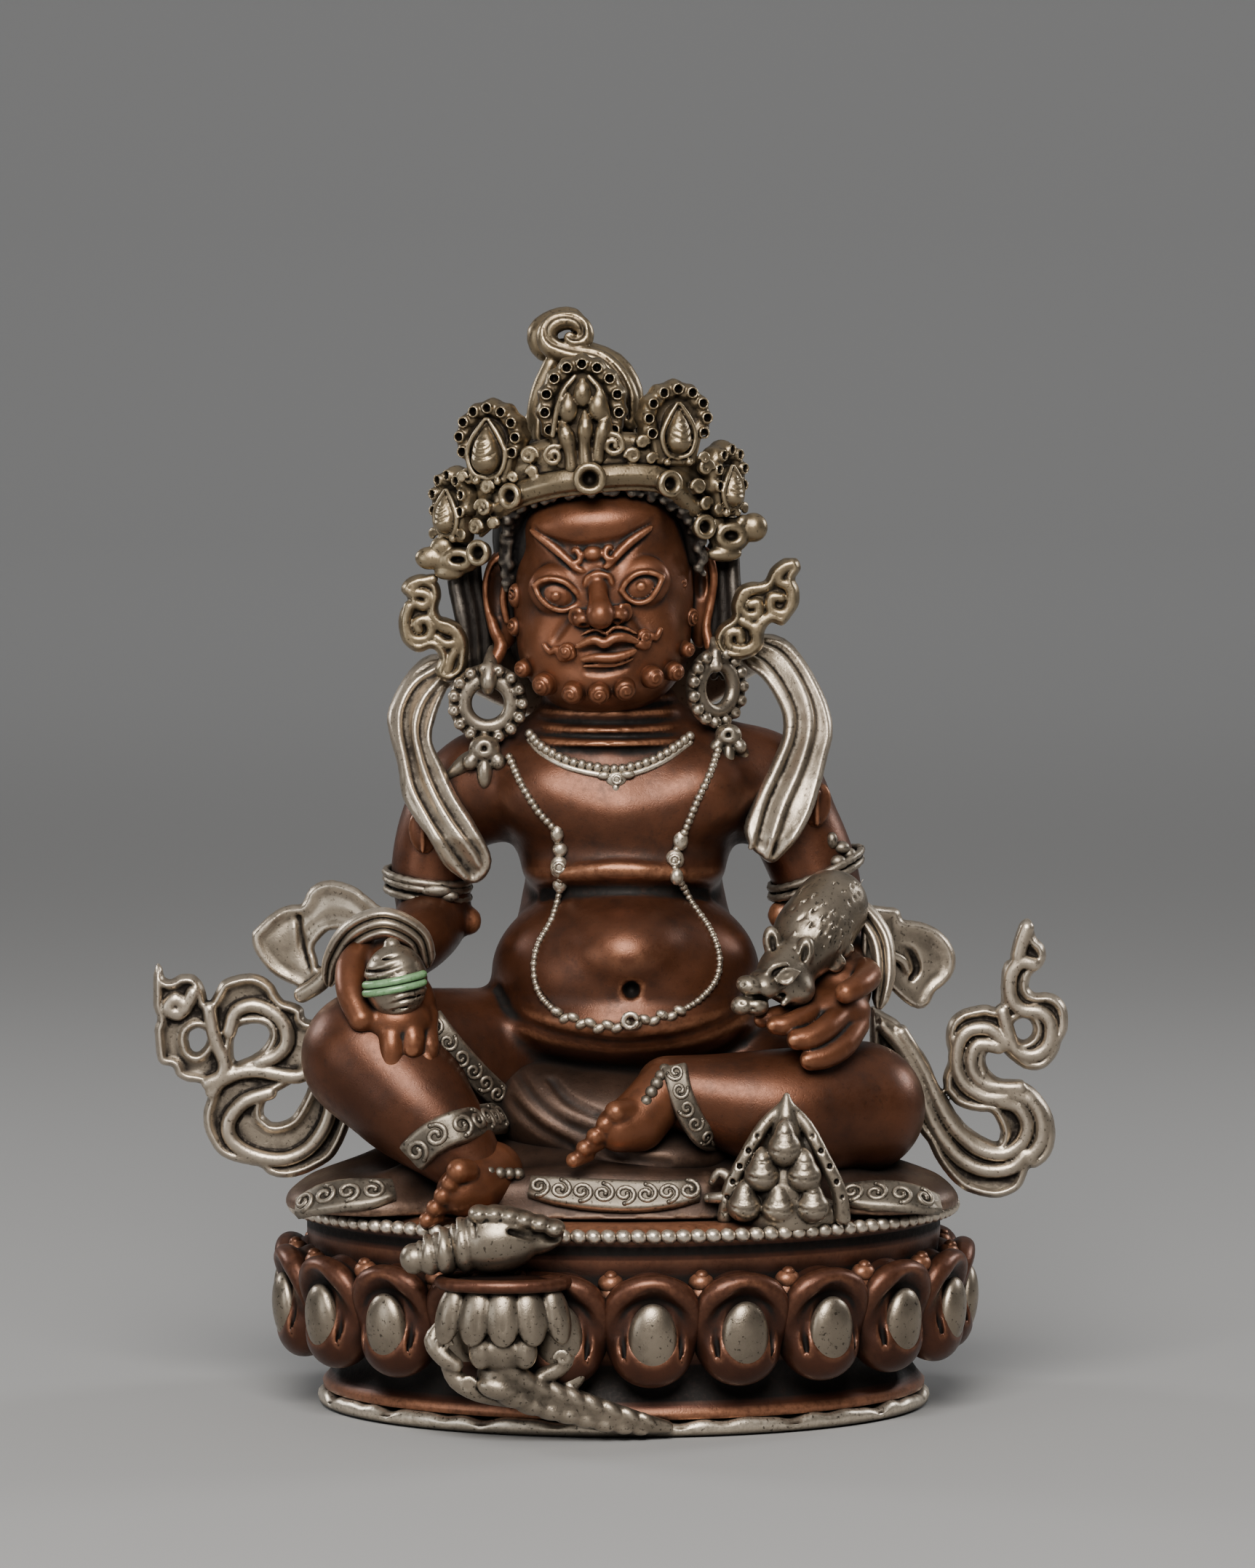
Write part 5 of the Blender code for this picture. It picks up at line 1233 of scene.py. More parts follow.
def scarves():
    """The scarf over both shoulders and round the back."""
    for name, outline, flutes, low, high in (
            ("scarf_left", SCARF_LEFT, LEFT_FLUTES, (-26, -8.6, 54), (-12.8, 6.4, 79.8)),
            ("scarf_right", SCARF_RIGHT, RIGHT_FLUTES, (10.4, -8.6, 56), (23, 6.8, 82))):
        clay = Clay(low, high, 0.18)
        clay.plate(outline, (), scarf_depth, dished)
        for route in flutes:
            rows = resample([(x, 0, z) for x, z in route], 0.4)
            rows[:, 1] = scarf_depth(rows[:, 0], rows[:, 2])
            clay.rod(np.column_stack((rows - (0, 1.15, 0), np.full(len(rows), 0.42))), 0.9, True, 1)
            clay.rod(np.column_stack((rows - (0.7, 0.82, 0.2), np.full(len(rows), 0.3))), 0.5, False, 1)
        clay.piece(name, "silver")
    pile = Pile()
    back = [(-18.6, 1.6, 77.6, 5.0, 2.4), (-15.5, 5.6, 77.4, 6.0, 2.4), (-10, 9.0, 75.6, 7.6, 2.4),
            (-2, 10.4, 74, 8.2, 2.4), (7, 9.2, 76, 7.6, 2.4), (11.6, 6.2, 78.4, 6.0, 2.4),
            (14.2, 2.4, 79.2, 4.6, 2.2)]
    pile.band(back, 4, 0.3, 0.35, (0, 1, 0.2), False)
    pile.piece("scarf_back", "silver")


def beads_on(pile, rows, radius, pitch, flat=1.0):
    for row in resample(rows, pitch):
        pile.bead(row[:3], (radius, radius * flat, radius))


def cords(body):
    """The necklace, the beaded cord over chest and belly, and its ornaments."""
    pile = Pile()
    collar = body.skin([(-9.8, 70.4), (-8.6, 69.2), (-6.2, 68.0), (-3.5, 67.3), (-0.8, 67.0), (1.9, 67.5),
                        (4.5, 68.6), (6.9, 70.2)], 0.2)
    for i, row in enumerate(resample(collar, 0.86)):
        pile.bead(row + (0, 0, 0.35), (0.5, 0.5, 0.52 + 0.06 * (i % 2)))
    pile.tube(np.column_stack((collar - (0, 0.1, 0.35), np.full(len(collar), 0.34))), 0.3, 8)
    at = float(body.front(-0.8, 66.4))
    for x, z, wide, tall in ((-0.8, 66.3, 1.1, 0.9), (-2.0, 66.7, 0.8, 0.5), (0.4, 66.8, 0.8, 0.5),
                             (-0.8, 65.4, 0.5, 0.6)):
        pile.bead((x, at, z), (wide, 0.5, tall))
    pile.tube(ring_of((-0.7, at - 0.45, 66.3), 0.4, 0.17), 0.2, 6)
    left = [(-11.9, 68.4), (-10.6, 65.7), (-8.9, 63.0), (-7.2, 61.0), (-6.7, 59.0), (-6.7, 56.9),
            (-6.6, 54.9), (-7.4, 51.9), (-8.9, 49.2), (-9.3, 46.5), (-8.6, 44.1), (-6.6, 42.2)]
    right = [(9.8, 69.1), (8.9, 66.7), (7.6, 64.0), (6.4, 61.0), (5.6, 59.3), (5.2, 57.6), (5.9, 55.6),
             (7.2, 53.2), (8.9, 50.9), (9.9, 48.2), (9.6, 45.8), (7.9, 43.8), (5.6, 42.5)]
    low = [(-6.9, 42.4), (-4.2, 41.6), (-2.2, 41.2), (0.8, 41.5), (3.2, 42.0), (5.8, 42.6)]
    for route in (left, right):
        rows = resample(body.skin(route, 0.12, 0.5, 3), 0.66)
        for i, row in enumerate(rows):
            slim = 0.4 if row[2] > 54 else 0.34
            pile.bead(row, (slim + 0.05 * (i % 2), slim, slim + 0.03))
        pile.tube(np.column_stack((rows + (0, 0.12, 0), np.full(len(rows), 0.3))), 0.3, 8)
    for i, row in enumerate(resample(body.skin(low, 0.1, 0.5, 3), 0.95)):
        pile.bead(row + (0, 0, 0.2 * (-1) ** i), (0.72, 0.42, 0.5), (0, 25 * (-1) ** i, 0))
    for x, z, wide, tall in ((-6.9, 60.6, 0.7, 0.95), (-6.6, 58.9, 0.8, 0.8), (-6.7, 57.1, 0.95, 1.2),
                             (-6.6, 55.2, 0.8, 0.85), (5.9, 59.9, 0.8, 1.1), (5.3, 57.9, 1.0, 1.1),
                             (5.5, 56.2, 0.7, 0.9)):
        pile.bead((x, float(body.front(x, z)) - 0.15, z), (wide, 0.6, tall))
    for x, z, size in ((-6.7, 57.1, 0.5), (5.3, 57.9, 0.5), (0.7, 41.9, 0.72)):
        pile.tube(ring_of((x, float(body.front(x, z)) - 0.7, z), size, 0.2 + 0.1 * (size > 0.6)), 0.2, 8)
    pile.piece("cords", "antique")


def armlets():
    pile = Pile()
    for x, radius, tilt, levels in ((-20.6, 4.3, -0.12, (53.6, 54.7, 55.4)), (20.2, 4.7, 0.42, (55.2, 56.2))):
        for i, level in enumerate(levels):
            rows = []
            for angle in np.linspace(0, 2 * math.pi, 65):
                across, depth = (radius + 0.05 * i) * math.cos(angle), (radius + 0.05 * i) * math.sin(angle)
                wire = 0.42 + 0.05 * math.sin(24 * angle)
                rows.append((x + across, 1.8 + depth, level + tilt * across + 0.1 * depth, wire))
            pile.tube(rows, 0.3, 8, (0, 0.1, 1))
    for x, y, z, radii in ((22.8, -1.0, 58.6, (0.9, 0.9, 0.7)), (23.6, -0.4, 57.8, (0.8, 0.8, 0.8)),
                           (22.4, -1.8, 57.2, (0.9, 0.7, 0.7)), (21.8, -1.6, 59.4, (0.6, 0.6, 0.9)),
                           (-19.6, -2.7, 54.2, (1.6, 0.5, 0.7)), (-18.2, -2.4, 53.6, (1.0, 0.5, 0.6))):
        pile.bead((x, y, z), radii)
    pile.piece("armlets", "dull")


def upper_arm_leaves():
    clay = Clay((-24.5, -5, 56), (23.5, 1, 67), 0.25)
    for x, z, lean in ((-21.0, 60.4, -8), (20.2, 63.2, 10)):
        clay.ball((x, -2.4, z), (1.5, 0.8, 2.4), 0.2, (0, lean, 0))
        clay.rod([(x, -3.1, z - 2, 0.25), (x, -3.3, z + 1.6, 0.3)], 0.1)
    clay.piece("arm_leaves", "copper")


FLARE_LEFT = [(-23.8, 52.4), (-25.3, 53.0), (-26.6, 53.9), (-27.9, 54.8), (-29.5, 55.3), (-30.8, 55.4),
              (-32.1, 55.0), (-33.0, 54.2), (-33.4, 53.3), (-33.8, 52.8), (-34.7, 52.7), (-36.0, 52.3),
              (-37.4, 51.3), (-38.5, 50.2), (-39.0, 49.4), (-38.7, 47.9), (-37.9, 46.6), (-36.8, 45.4),
              (-35.3, 44.5), (-34.2, 44.0), (-33.9, 43.2), (-33.4, 42.8), (-32.7, 43.1), (-31.1, 44.1),
              (-28.9, 45.6), (-26.4, 47.5), (-23.6, 50)]
FLARE_LEFT_HOLE = [(-32.0, 47.1), (-32.3, 48.2), (-31.7, 49.2), (-30.8, 50.0), (-29.8, 50.2), (-29.0, 50.0),
                   (-29.8, 49.0), (-30.4, 47.7), (-31.1, 46.6), (-31.9, 46.3)]
FLARE_RIGHT = [(24.7, 52.7), (27.4, 52.8), (28.7, 52.4), (29.2, 51.4), (30.9, 51.1), (32.7, 50.3),
               (34.1, 48.9), (34.7, 47.4), (34.6, 45.9), (33.8, 44.6), (32.6, 43.6), (31.9, 42.3),
               (30.9, 41.9), (29.8, 42.3), (28.6, 43.3), (27.4, 44.5), (26.0, 45.9), (24.6, 48.2)]


def dished(inside):
    """Half the thickness of a scarf end: a low rim at its edge and a hollow further in."""
    edge = np.sqrt(np.clip(1 - (1 - np.clip(inside / 0.7, 0, 1)) ** 2, 0, 1))
    rim_height = 0.15 * np.exp(-((inside - 0.5) / 0.3) ** 2)
    hollow = 0.22 * np.exp(-((inside - 1.5) / 0.6) ** 2)
    return 0.95 * edge + rim_height - hollow


def wrist_scarves():
    """The scarf ends that stand off the wrists, and the bands round the wrists."""
    left = Clay((-40, -11.5, 41.8), (-22.8, 0.4, 56.4), 0.2)
    left_rows = (-39, -35, -31, -27, -24), (-1.6, -1.7, -3, -5.6, -8.6)
    left.plate(FLARE_LEFT, [FLARE_LEFT_HOLE], lambda x, z: np.interp(x, *left_rows) + 0 * z, dished)
    left.rod([(-33.6, -3.6, 43.4, 0.9), (-31.6, -4.6, 44.8, 0.95), (-30.2, -5.4, 46.8, 0.85),
              (-29.2, -6.2, 49.0, 0.8), (-27.4, -7.4, 50.8, 0.8)], 0.3)
    left.rod([(-34.0, -2.7, 51.4, 0.28), (-33.6, -2.8, 48.6, 0.3), (-33.0, -3.2, 46.2, 0.28)], 0.5, True)
    left.piece("wrist_flare_left", "silver")
    right = Clay((24, -11, 40.8), (36, -1.6, 54), 0.2)
    right_rows = (25, 28, 32, 35), (-7.4, -4.8, -3.4, -3)
    right.plate(FLARE_RIGHT, (), lambda x, z: np.interp(x, *right_rows) + 0 * z, dished)
    right.rod([(26.6, -7.4, 49.2, 0.35), (28.2, -6.4, 49.4, 0.4), (30, -5, 48, 0.42),
               (30.6, -4.6, 46.2, 0.38), (30.0, -4.8, 45.2, 0.3)], 0.4, True)
    right.rod([(27.6, -6.6, 48.0, 0.4), (29.0, -5.8, 47.2, 0.5), (29.6, -5.2, 46.0, 0.35)], 0.2)
    right.piece("wrist_flare_right", "silver")
    pile = Pile()
    wrap = [(-20.4, -10.6, 47.0, 2.2, 1.8), (-21.4, -12.2, 50.2, 2.8, 2.0), (-24.6, -13, 51.8, 3.2, 2.2),
            (-27.8, -12, 50.6, 3.2, 2.0), (-29.9, -9.6, 47.6, 2.6, 1.8), (-30.6, -8, 44.8, 1.6, 1.6)]
    pile.band(wrap, 3, 0.5, 0.25)
    other = [(19.6, -8.6, 54.0, 1.8, 1.8), (23.6, -7.4, 53.2, 2.4, 2.0), (26.4, -8, 50.2, 2.6, 2.0),
             (27.0, -9.6, 46.4, 2.4, 1.8), (26.4, -10.6, 42.6, 1.6, 1.6)]
    pile.band(other, 2, 0.5, 0.25)
    pile.piece("wrist_scarves", "silver")


FRUIT_AT = (-23.4, -17.8, 46.2)
FRUIT_RADIUS = 3.3
FRUIT_HALF_HEIGHT = 3.8


def fruit():
    """The ribbed fruit with its green band."""
    across, depth, middle = FRUIT_AT
    clay = Clay((-28, -22.8, 41.0), (-18.5, -12, 51.5), 0.17)
    clay.ball(FRUIT_AT, (FRUIT_RADIUS, FRUIT_RADIUS, FRUIT_HALF_HEIGHT), 0.1)
    for level in (49.0, 48.1, 47.2, 45.0, 44.2, 43.4):
        share = math.sqrt(max(1 - ((level - middle) / FRUIT_HALF_HEIGHT) ** 2, 0.05))
        rows = []
        for angle in np.linspace(0, 2 * math.pi, 29):
            x, y = FRUIT_RADIUS * share * math.cos(angle), FRUIT_RADIUS * share * math.sin(angle)
            rows.append((across + x, depth + y, level + 0.2 * x + 0.3 * math.sin(0.8 * x), 0.2))
        clay.rod(rows, 0.2, True, 1)
    clay.ball((-23.8, -17.6, 50.0), (0.85, 0.85, 0.7), 0.25)
    clay.piece("fruit", "antique")
    band = Pile()
    for lift in (0.42, -0.42):
        rows = []
        for angle in np.radians(np.linspace(-155, -30, 22)):
            x, y = FRUIT_RADIUS * math.cos(angle), FRUIT_RADIUS * math.sin(angle)
            rows.append((across + x, depth + y, 46.1 + lift + 0.2 * x, 0.42))
        band.tube(rows, 0.25, 8, (0, 0.1, 1))
    band.piece("fruit_enamel", "enamel")


def mongoose():
    """The jewel-spitting mongoose, head down over the hand."""
    clay = Clay((9.8, -25, 40.5), (27.5, -3, 58), 0.16)
    clay.ball((21.4, -8.8, 52.8), (3.9, 4.4, 4.2), 0.8, (0, 30, 0))
    clay.ball((19.4, -11.4, 50.6), (3.9, 4.2, 4.4), 1.5, (0, 30, 0))
    clay.rod([(20, -11, 50.5, 3.6), (18.2, -13.6, 48.6, 3.1), (16.8, -15.4, 47.4, 2.7)], 1)
    clay.ball((16.2, -16.2, 46.7), (2.6, 3.0, 2.6), 0.6)
    clay.ball((17.6, -16.0, 45.2), (2.1, 2.6, 1.9), 0.8)
    clay.ball((14.4, -18.2, 45.9), (1.8, 2.2, 1.5), 0.5, (10, 20, 10))
    clay.ball((12.9, -19.6, 45.9), (1.45, 1.35, 1.05), 0.15, (0, 20, 0))
    clay.ball((13.4, -18.8, 43.9), (1.5, 1.9, 1.15), 0.3, (0, 10, 10))
    clay.ball((12.1, -19.8, 43.9), (1.15, 1.1, 1.0), 0.15)
    clay.rod([(11.6, -20.8, 44.9, 0.25), (13.4, -20.2, 44.8, 0.3), (15.2, -18.8, 44.6, 0.42),
              (16.8, -17.9, 45.1, 0.3)], 0.15, True)
    for rows in ([(14.6, -19.2, 47.0, 0.3), (15.4, -19.3, 47.9, 0.34), (16.6, -19.0, 48.1, 0.3)],
                 [(16.4, -18.4, 44.0, 0.35), (17.4, -17.6, 44.8, 0.4), (17.6, -17.4, 45.8, 0.3)]):
        clay.rod(rows, 0.3)
    for x, z in ((12.2, 46.2), (13.5, 46.4), (12.2, 44.3), (13.2, 43.6)):
        clay.ball((x, float(clay.front(x, z)) - 0.05, z), (0.32, 0.25, 0.22), 0.06, carve=True)
    for x, y, z, lean in ((15.3, -15.8, 50.0, -8), (18.6, -16.6, 49.0, 10)):
        clay.ball((x, y, z), (1.0, 0.9, 1.75), 0.2, (0, lean, 0))
        clay.ball((x, y - 0.85, z + 0.1), (0.42, 0.5, 1.0), 0.12, (0, lean, 0), True)
    x, z = 16.7, 46.9
    depth = float(clay.front(x, z))
    clay.ball((x, depth - 0.1, z), (1.15, 0.5, 0.72), 0.1, (0, -22, 0))
    for bow in (-1, 1):
        clay.rod([(x - 1.2, depth - 0.1, z - 0.35, 0.2), (x - 0.1 * bow, depth - 0.55, z + 0.72 * bow, 0.24),
                  (x + 1.25, depth - 0.1, z + 0.4, 0.2)], 0.08)
    mane(clay)
    clay.piece("mongoose", "antique")


def mane(clay):
    """Short soft fur on the body, and the curls of the neck."""
    for i in range(60):
        x = 17.4 + 7.2 * ((i * 0.618) % 1)
        z = 49.4 + 6.6 * ((i * 0.371 + 0.2) % 1)
        depth = float(clay.front(x, z))
        if depth > -7:
            continue
        clay.rod([(x - 0.3, depth - 0.02, z - 0.5, 0.09), (x + 0.25, depth - 0.05, z + 0.45, 0.09)], 0.2,
                 i % 3 > 0, 1)
    for x, y, z, radius, way in ((21.8, -13.6, 47.6, 1.0, 1), (20.2, -15.0, 48.6, 0.85, -1),
                                 (22.8, -12.6, 48.9, 0.85, 1)):
        clay.ball((x, y + 0.5, z), (radius, 0.8, radius), 0.3)
        Leaf(clay, (x, y - 0.1, z), 14).coil(0, 0, 0, radius, 0.24, way)


def hems(body):
    """Patterned silver hems of the cloth: over the thigh, the ankle and the shin."""
    pile = Pile()
    thigh = body.skin([(-20, 42), (-17.4, 38.6), (-14, 34.6), (-10.5, 31.4), (-7, 29.6), (-4, 28.6)], 0.1,
                      0.5, 3)
    shin = body.skin([(5.2, 37.6), (5.8, 35), (6.8, 32.6), (8.2, 30.4), (10.2, 28.2)], 0.1, 0.5, 3)
    ankle = body.skin([(-21.6, 28.4), (-19.6, 30.4), (-16.8, 31.6), (-13.8, 31.6), (-11.4, 30.4)], 0.2, 0.5,
                      3)
    for rows, width in ((thigh, 2.8), (shin, 2.6), (ankle, 3.6)):
        rows = rows[::4, :3] if len(rows) > 8 else rows
        rows = np.column_stack((rows, np.full(len(rows), width), np.full(len(rows), 1.5)))
        scroll_band(pile, rows, (0, -1, 0.25))
    pile.piece("hems", "dull")


def anklets():
    pile = Pile()
    for route in ([(-18.6, -19.6, 28.0), (-16, -21.4, 27.3), (-13.4, -21.6, 26.9), (-10.8, -20.2, 26.6)],
                  [(4.2, -19.0, 37.2), (3.4, -20.6, 36.0), (2.3, -21.2, 34.2), (1.5, -21.0, 32.2)]):
        beads_on(pile, route, 0.66, 1.05)
    pile.piece("anklets", "dull")


def seat_cloth():
    """The cloth that is spread over the base, under the legs."""
    clay = Clay((-35.5, -26, SEAT), (35.5, 25.5, 31.5), 0.36)
    clay.ball((0, -0.2, 20.6), (33.5, 24.1, 3.4), 0.5)
    clay.ball((0, -1.5, 21), (30, 20.5, 6.6), 2)
    clay.ball((-1, -5, 22), (26, 16.2, 8.4), 3)
    clay.ball((-25.5, -10.5, 22.6), (9.6, 9.4, 3.6), 1.5)
    clay.ball((26, -9.5, 22.6), (8.8, 9.4, 3.5), 1.5)
    for rows in ([(-24, -16, 24.6, 1.2), (-19, -13.6, 27.6, 1.6)],
                 [(-31, -8, 23.4, 1.2), (-24, -8, 26.6, 1.8)], [(31, -8, 23.4, 1.2), (25, -8, 26, 1.8)],
                 [(25, -14.6, 23.7, 1.2), (20, -12, 26.6, 1.8)],
                 [(-12, -19, 24.6, 1.6), (-3, -19.4, 25.4, 1.8), (8, -19.4, 24.8, 1.6)]):
        clay.rod(rows, 2.5, soft=5)
    clay.below(SEAT + 1.15)
    return clay


def scroll_band(pile, rows, facing):
    """A hem: a band of rows (x, y, z, width, thickness) with raised edges and small scrolls between them."""
    pile.band(rows, 1, -0.35, 0.3, facing, False)
    path = resample(rows, 0.2)
    centre = path[:, :3]
    ahead = unit(np.gradient(centre, axis=0))
    out = unit(np.asarray(facing, float) - ahead * (np.asarray(facing) * ahead).sum(axis=1, keepdims=True))
    side = np.cross(out, ahead)
    width = path[:, 3].mean()
    step = max(1, int(0.72 * width / 0.2))
    for i, at in enumerate(range(step // 2, len(path) - step // 3, step)):
        way = 1 if i % 2 else -1
        turns = np.linspace(0, 2.6 * math.pi, 20)
        reach = 0.36 * width * (1 - 0.75 * turns / turns[-1])
        across = way * reach * np.cos(turns) * 0.9
        along = reach * np.sin(turns)
        lift = path[at, 4] * 0.5
        coil = centre[at] + side[at] * across[:, None] + ahead[at] * along[:, None] + out[at] * lift
        pile.tube(np.column_stack((coil, np.full(len(coil), 0.075 * width + 0.03))), 0.3, 6, facing)


def seat_hem(cloth):
    pile = Pile()
    front = [(-9.6, 25.4), (-6, 24.9), (-2, 24.6), (2, 24.5), (6, 24.8), (9.6, 25.3)]
    right = [(22.4, 24.0), (25, 24.0), (28, 23.9), (31, 23.3), (33.2, 22.4)]
    left = [(-33.4, 22.5), (-31, 23.6), (-28, 24.2), (-25, 24.4), (-21.6, 25.0)]
    for route, width, facing in ((front, 3.6, (0, -1, 0.5)), (right, 3.8, (0.3, -1, 0.9)),
                                 (left, 4.0, (-0.3, -1, 0.9))):
        rows = cloth.skin(route, 0.1, 0.5, 3)[::5]
        swell = 0.45 + 0.55 * np.sqrt(np.sin(math.pi * np.linspace(0.04, 0.96, len(rows))))
        rows = np.column_stack((rows, width * swell, np.full(len(rows), 1.4)))
        scroll_band(pile, rows, facing)
    curl = [(8.6, -22.4, 24.4, 0.5), (10.4, -22.4, 24.6, 0.65), (10.9, -22.2, 26.2, 0.6),
            (9.8, -22.0, 27.0, 0.5), (9.0, -22.2, 26.0, 0.35)]
    pile.tube(curl, 0.3, 10)
    pile.piece("seat_hem", "dull")


def jewel_heap():
    """The heap of jewels in its dotted frame."""
    clay = Clay((9, -28, 21), (24.2, -16.5, 36.4), 0.17)
    clay.rod([(16.4, -20.6, 22.6, 4.2), (16.4, -20.8, 26, 3.6), (16.5, -20.8, 30, 2.4),
              (16.6, -20.8, 33, 1.2)], 0.5)
    clay.ball((16.4, -20.6, 22.6), (6.2, 3.0, 2.2), 0.5)
    clay.rod([(16.6, -22.4, 31.2, 1.5), (16.6, -22.2, 33.2, 1.0), (16.65, -22, 34.9, 0.35)], 0.2)
    for side in (-1, 1):
        clay.rod([(16.4 + side * 6.0, -22.2, 22.4, 0.85), (16.4 + side * 5.5, -22.6, 25.4, 0.8),
                  (16.4 + side * 4.0, -22.8, 28.6, 0.75), (16.5 + side * 2.2, -22.4, 31.8, 0.7),
                  (16.6, -22, 34.2, 0.5)], 0.2)
        for x, z in ((6.1, 23.0), (5.9, 24.6), (5.3, 26.2), (4.6, 27.8), (3.7, 29.4), (2.8, 30.9),
                     (1.7, 32.6)):
            clay.ball((16.45 + side * x, -23.4, z), (0.3, 0.5, 0.3), 0.06, carve=True)
    for x, z, wide, tall in ((16.4, 30.0, 1.75, 2.2), (14.1, 27.3, 1.8, 2.0), (18.4, 27.2, 1.8, 2.0),
                             (12.3, 24.1, 1.75, 1.9), (15.8, 23.9, 1.8, 1.9), (19.3, 24.0, 1.75, 1.9)):
        clay.ball((x, -23.8, z - 0.4), (wide, 1.7, 0.85 * tall), 0.06)
        clay.rod([(x, -23.9, z + 0.1, 0.8 * wide), (x, -23.9, z + 0.7 * tall, 0.52 * wide),
                  (x, -23.7, z + 1.15 * tall, 0.3)], 0.12)
        for i in range(3):
            level, span = z + tall * (0.55 - 0.42 * i), wide * (0.45 + 0.2 * i)
            engraved(clay, x, level, span, 0.3, 0.13, 0.06)
    clay.below(SEAT + 0.3)
    clay.piece("jewel_heap", "antique")


def fluted(inside):
    """Half the thickness of a cast ribbon: a round edge, a raised rim, and a hollow inside it."""
    edge = np.sqrt(np.clip(1 - (1 - np.clip(inside / 0.6, 0, 1)) ** 2, 0, 1))
    rim_height = 0.62 * np.exp(-((inside - 0.6) / 0.42) ** 2)
    return 0.66 * edge + rim_height


def ridges(clay, depth, reach, radius, routes):
    """Ridges on both faces of a plate."""
    for route in routes:
        for side in (-1, 1):
            clay.rod([(x, depth + side * (reach - 0.4), z, radius) for x, z in route], 0.12)


SWIRL_LEFT = [(-48.8, 46.7), (-48.2, 46.1), (-48.0, 45.2), (-47.3, 45.0), (-46.3, 45.5), (-45.1, 45.5),
              (-44.2, 44.8), (-43.7, 43.7), (-43.4, 42.6), (-42.7, 43.7), (-42.0, 44.8), (-40.5, 45.4),
              (-38.9, 45.6), (-37.6, 45.2), (-36.6, 44.4), (-36.1, 43.5), (-35.5, 42.8), (-34.5, 42.5),
              (-33.5, 41.9), (-33.1, 40.8), (-30.6, 40.4), (-28.5, 37.7), (-27.4, 34.5), (-28.0, 31.6),
              (-28.8, 29.2), (-29.6, 27.4), (-30.6, 26.0), (-32.2, 25.0), (-33.8, 24.3), (-35.6, 24.0),
              (-37.2, 24.4), (-38.0, 25.1), (-39.3, 25.4), (-40.6, 25.7), (-41.9, 26.2), (-42.8, 27.0),
              (-43.5, 28.2), (-43.8, 28.9), (-44.0, 29.8), (-44.0, 31.1), (-43.6, 32.4), (-43.3, 33.5),
              (-44.5, 34.0), (-45.8, 34.2), (-46.8, 34.8), (-47.2, 35.7), (-48.2, 35.9), (-48.8, 36.6),
              (-49.0, 38.2), (-49.1, 39.8), (-48.8, 40.8), (-49.2, 42.1), (-49.2, 43.5), (-49.2, 44.8),
              (-49.1, 45.8)]
LEFT_HOLES = ([(-37.6, 30.6), (-37.6, 31.6), (-36.9, 32.7), (-35.3, 33.6), (-33.6, 34.7), (-32.6, 35.8),
               (-32.7, 34.6), (-33.2, 33.2), (-34.0, 31.6), (-34.8, 30.5), (-35.9, 30.0), (-36.9, 30.0)],
              [(-40.3, 39.8), (-39.2, 40.2), (-38.0, 40.2), (-37.3, 39.8), (-37.1, 39.0), (-37.7, 37.9),
               (-38.7, 37.1), (-40.0, 36.5), (-40.6, 36.4), (-40.8, 37.4), (-40.7, 38.7)],
              [(-45.5, 38.6), (-45.3, 39.4), (-44.5, 39.8), (-43.7, 39.4), (-43.6, 38.6), (-44.0, 37.8),
               (-44.7, 37.3), (-45.3, 37.7)])
LEFT_RIDGES = ([(-43.3, 41.9), (-43.0, 40), (-42.5, 38.2), (-41.7, 36.3), (-42.0, 34.9), (-43.4, 34.1)],
               [(-43.0, 33.2), (-42.2, 34.3), (-40.3, 35.2), (-38.2, 35.4), (-36.0, 35.0), (-34.0, 34.8),
                (-32.4, 35.7)],
               [(-41.2, 39.5), (-40.5, 41.6), (-38.7, 42.3), (-36.8, 41.6), (-35.5, 40.3), (-35.2, 38.4),
                (-36.3, 37.0), (-38.0, 36.3)],
               [(-37.0, 33.1), (-39.6, 32.2), (-41.2, 30.4), (-41.3, 28.7), (-40.2, 27.3), (-38, 26.3),
                (-35.4, 26.1), (-33.0, 27.2), (-31.3, 29.4), (-30.6, 31.8), (-31.0, 34.0)],
               [(-45.8, 42.0), (-46.8, 43.0), (-47.6, 42.0), (-46.6, 41.4), (-45.6, 42.4), (-45.0, 43.6)])
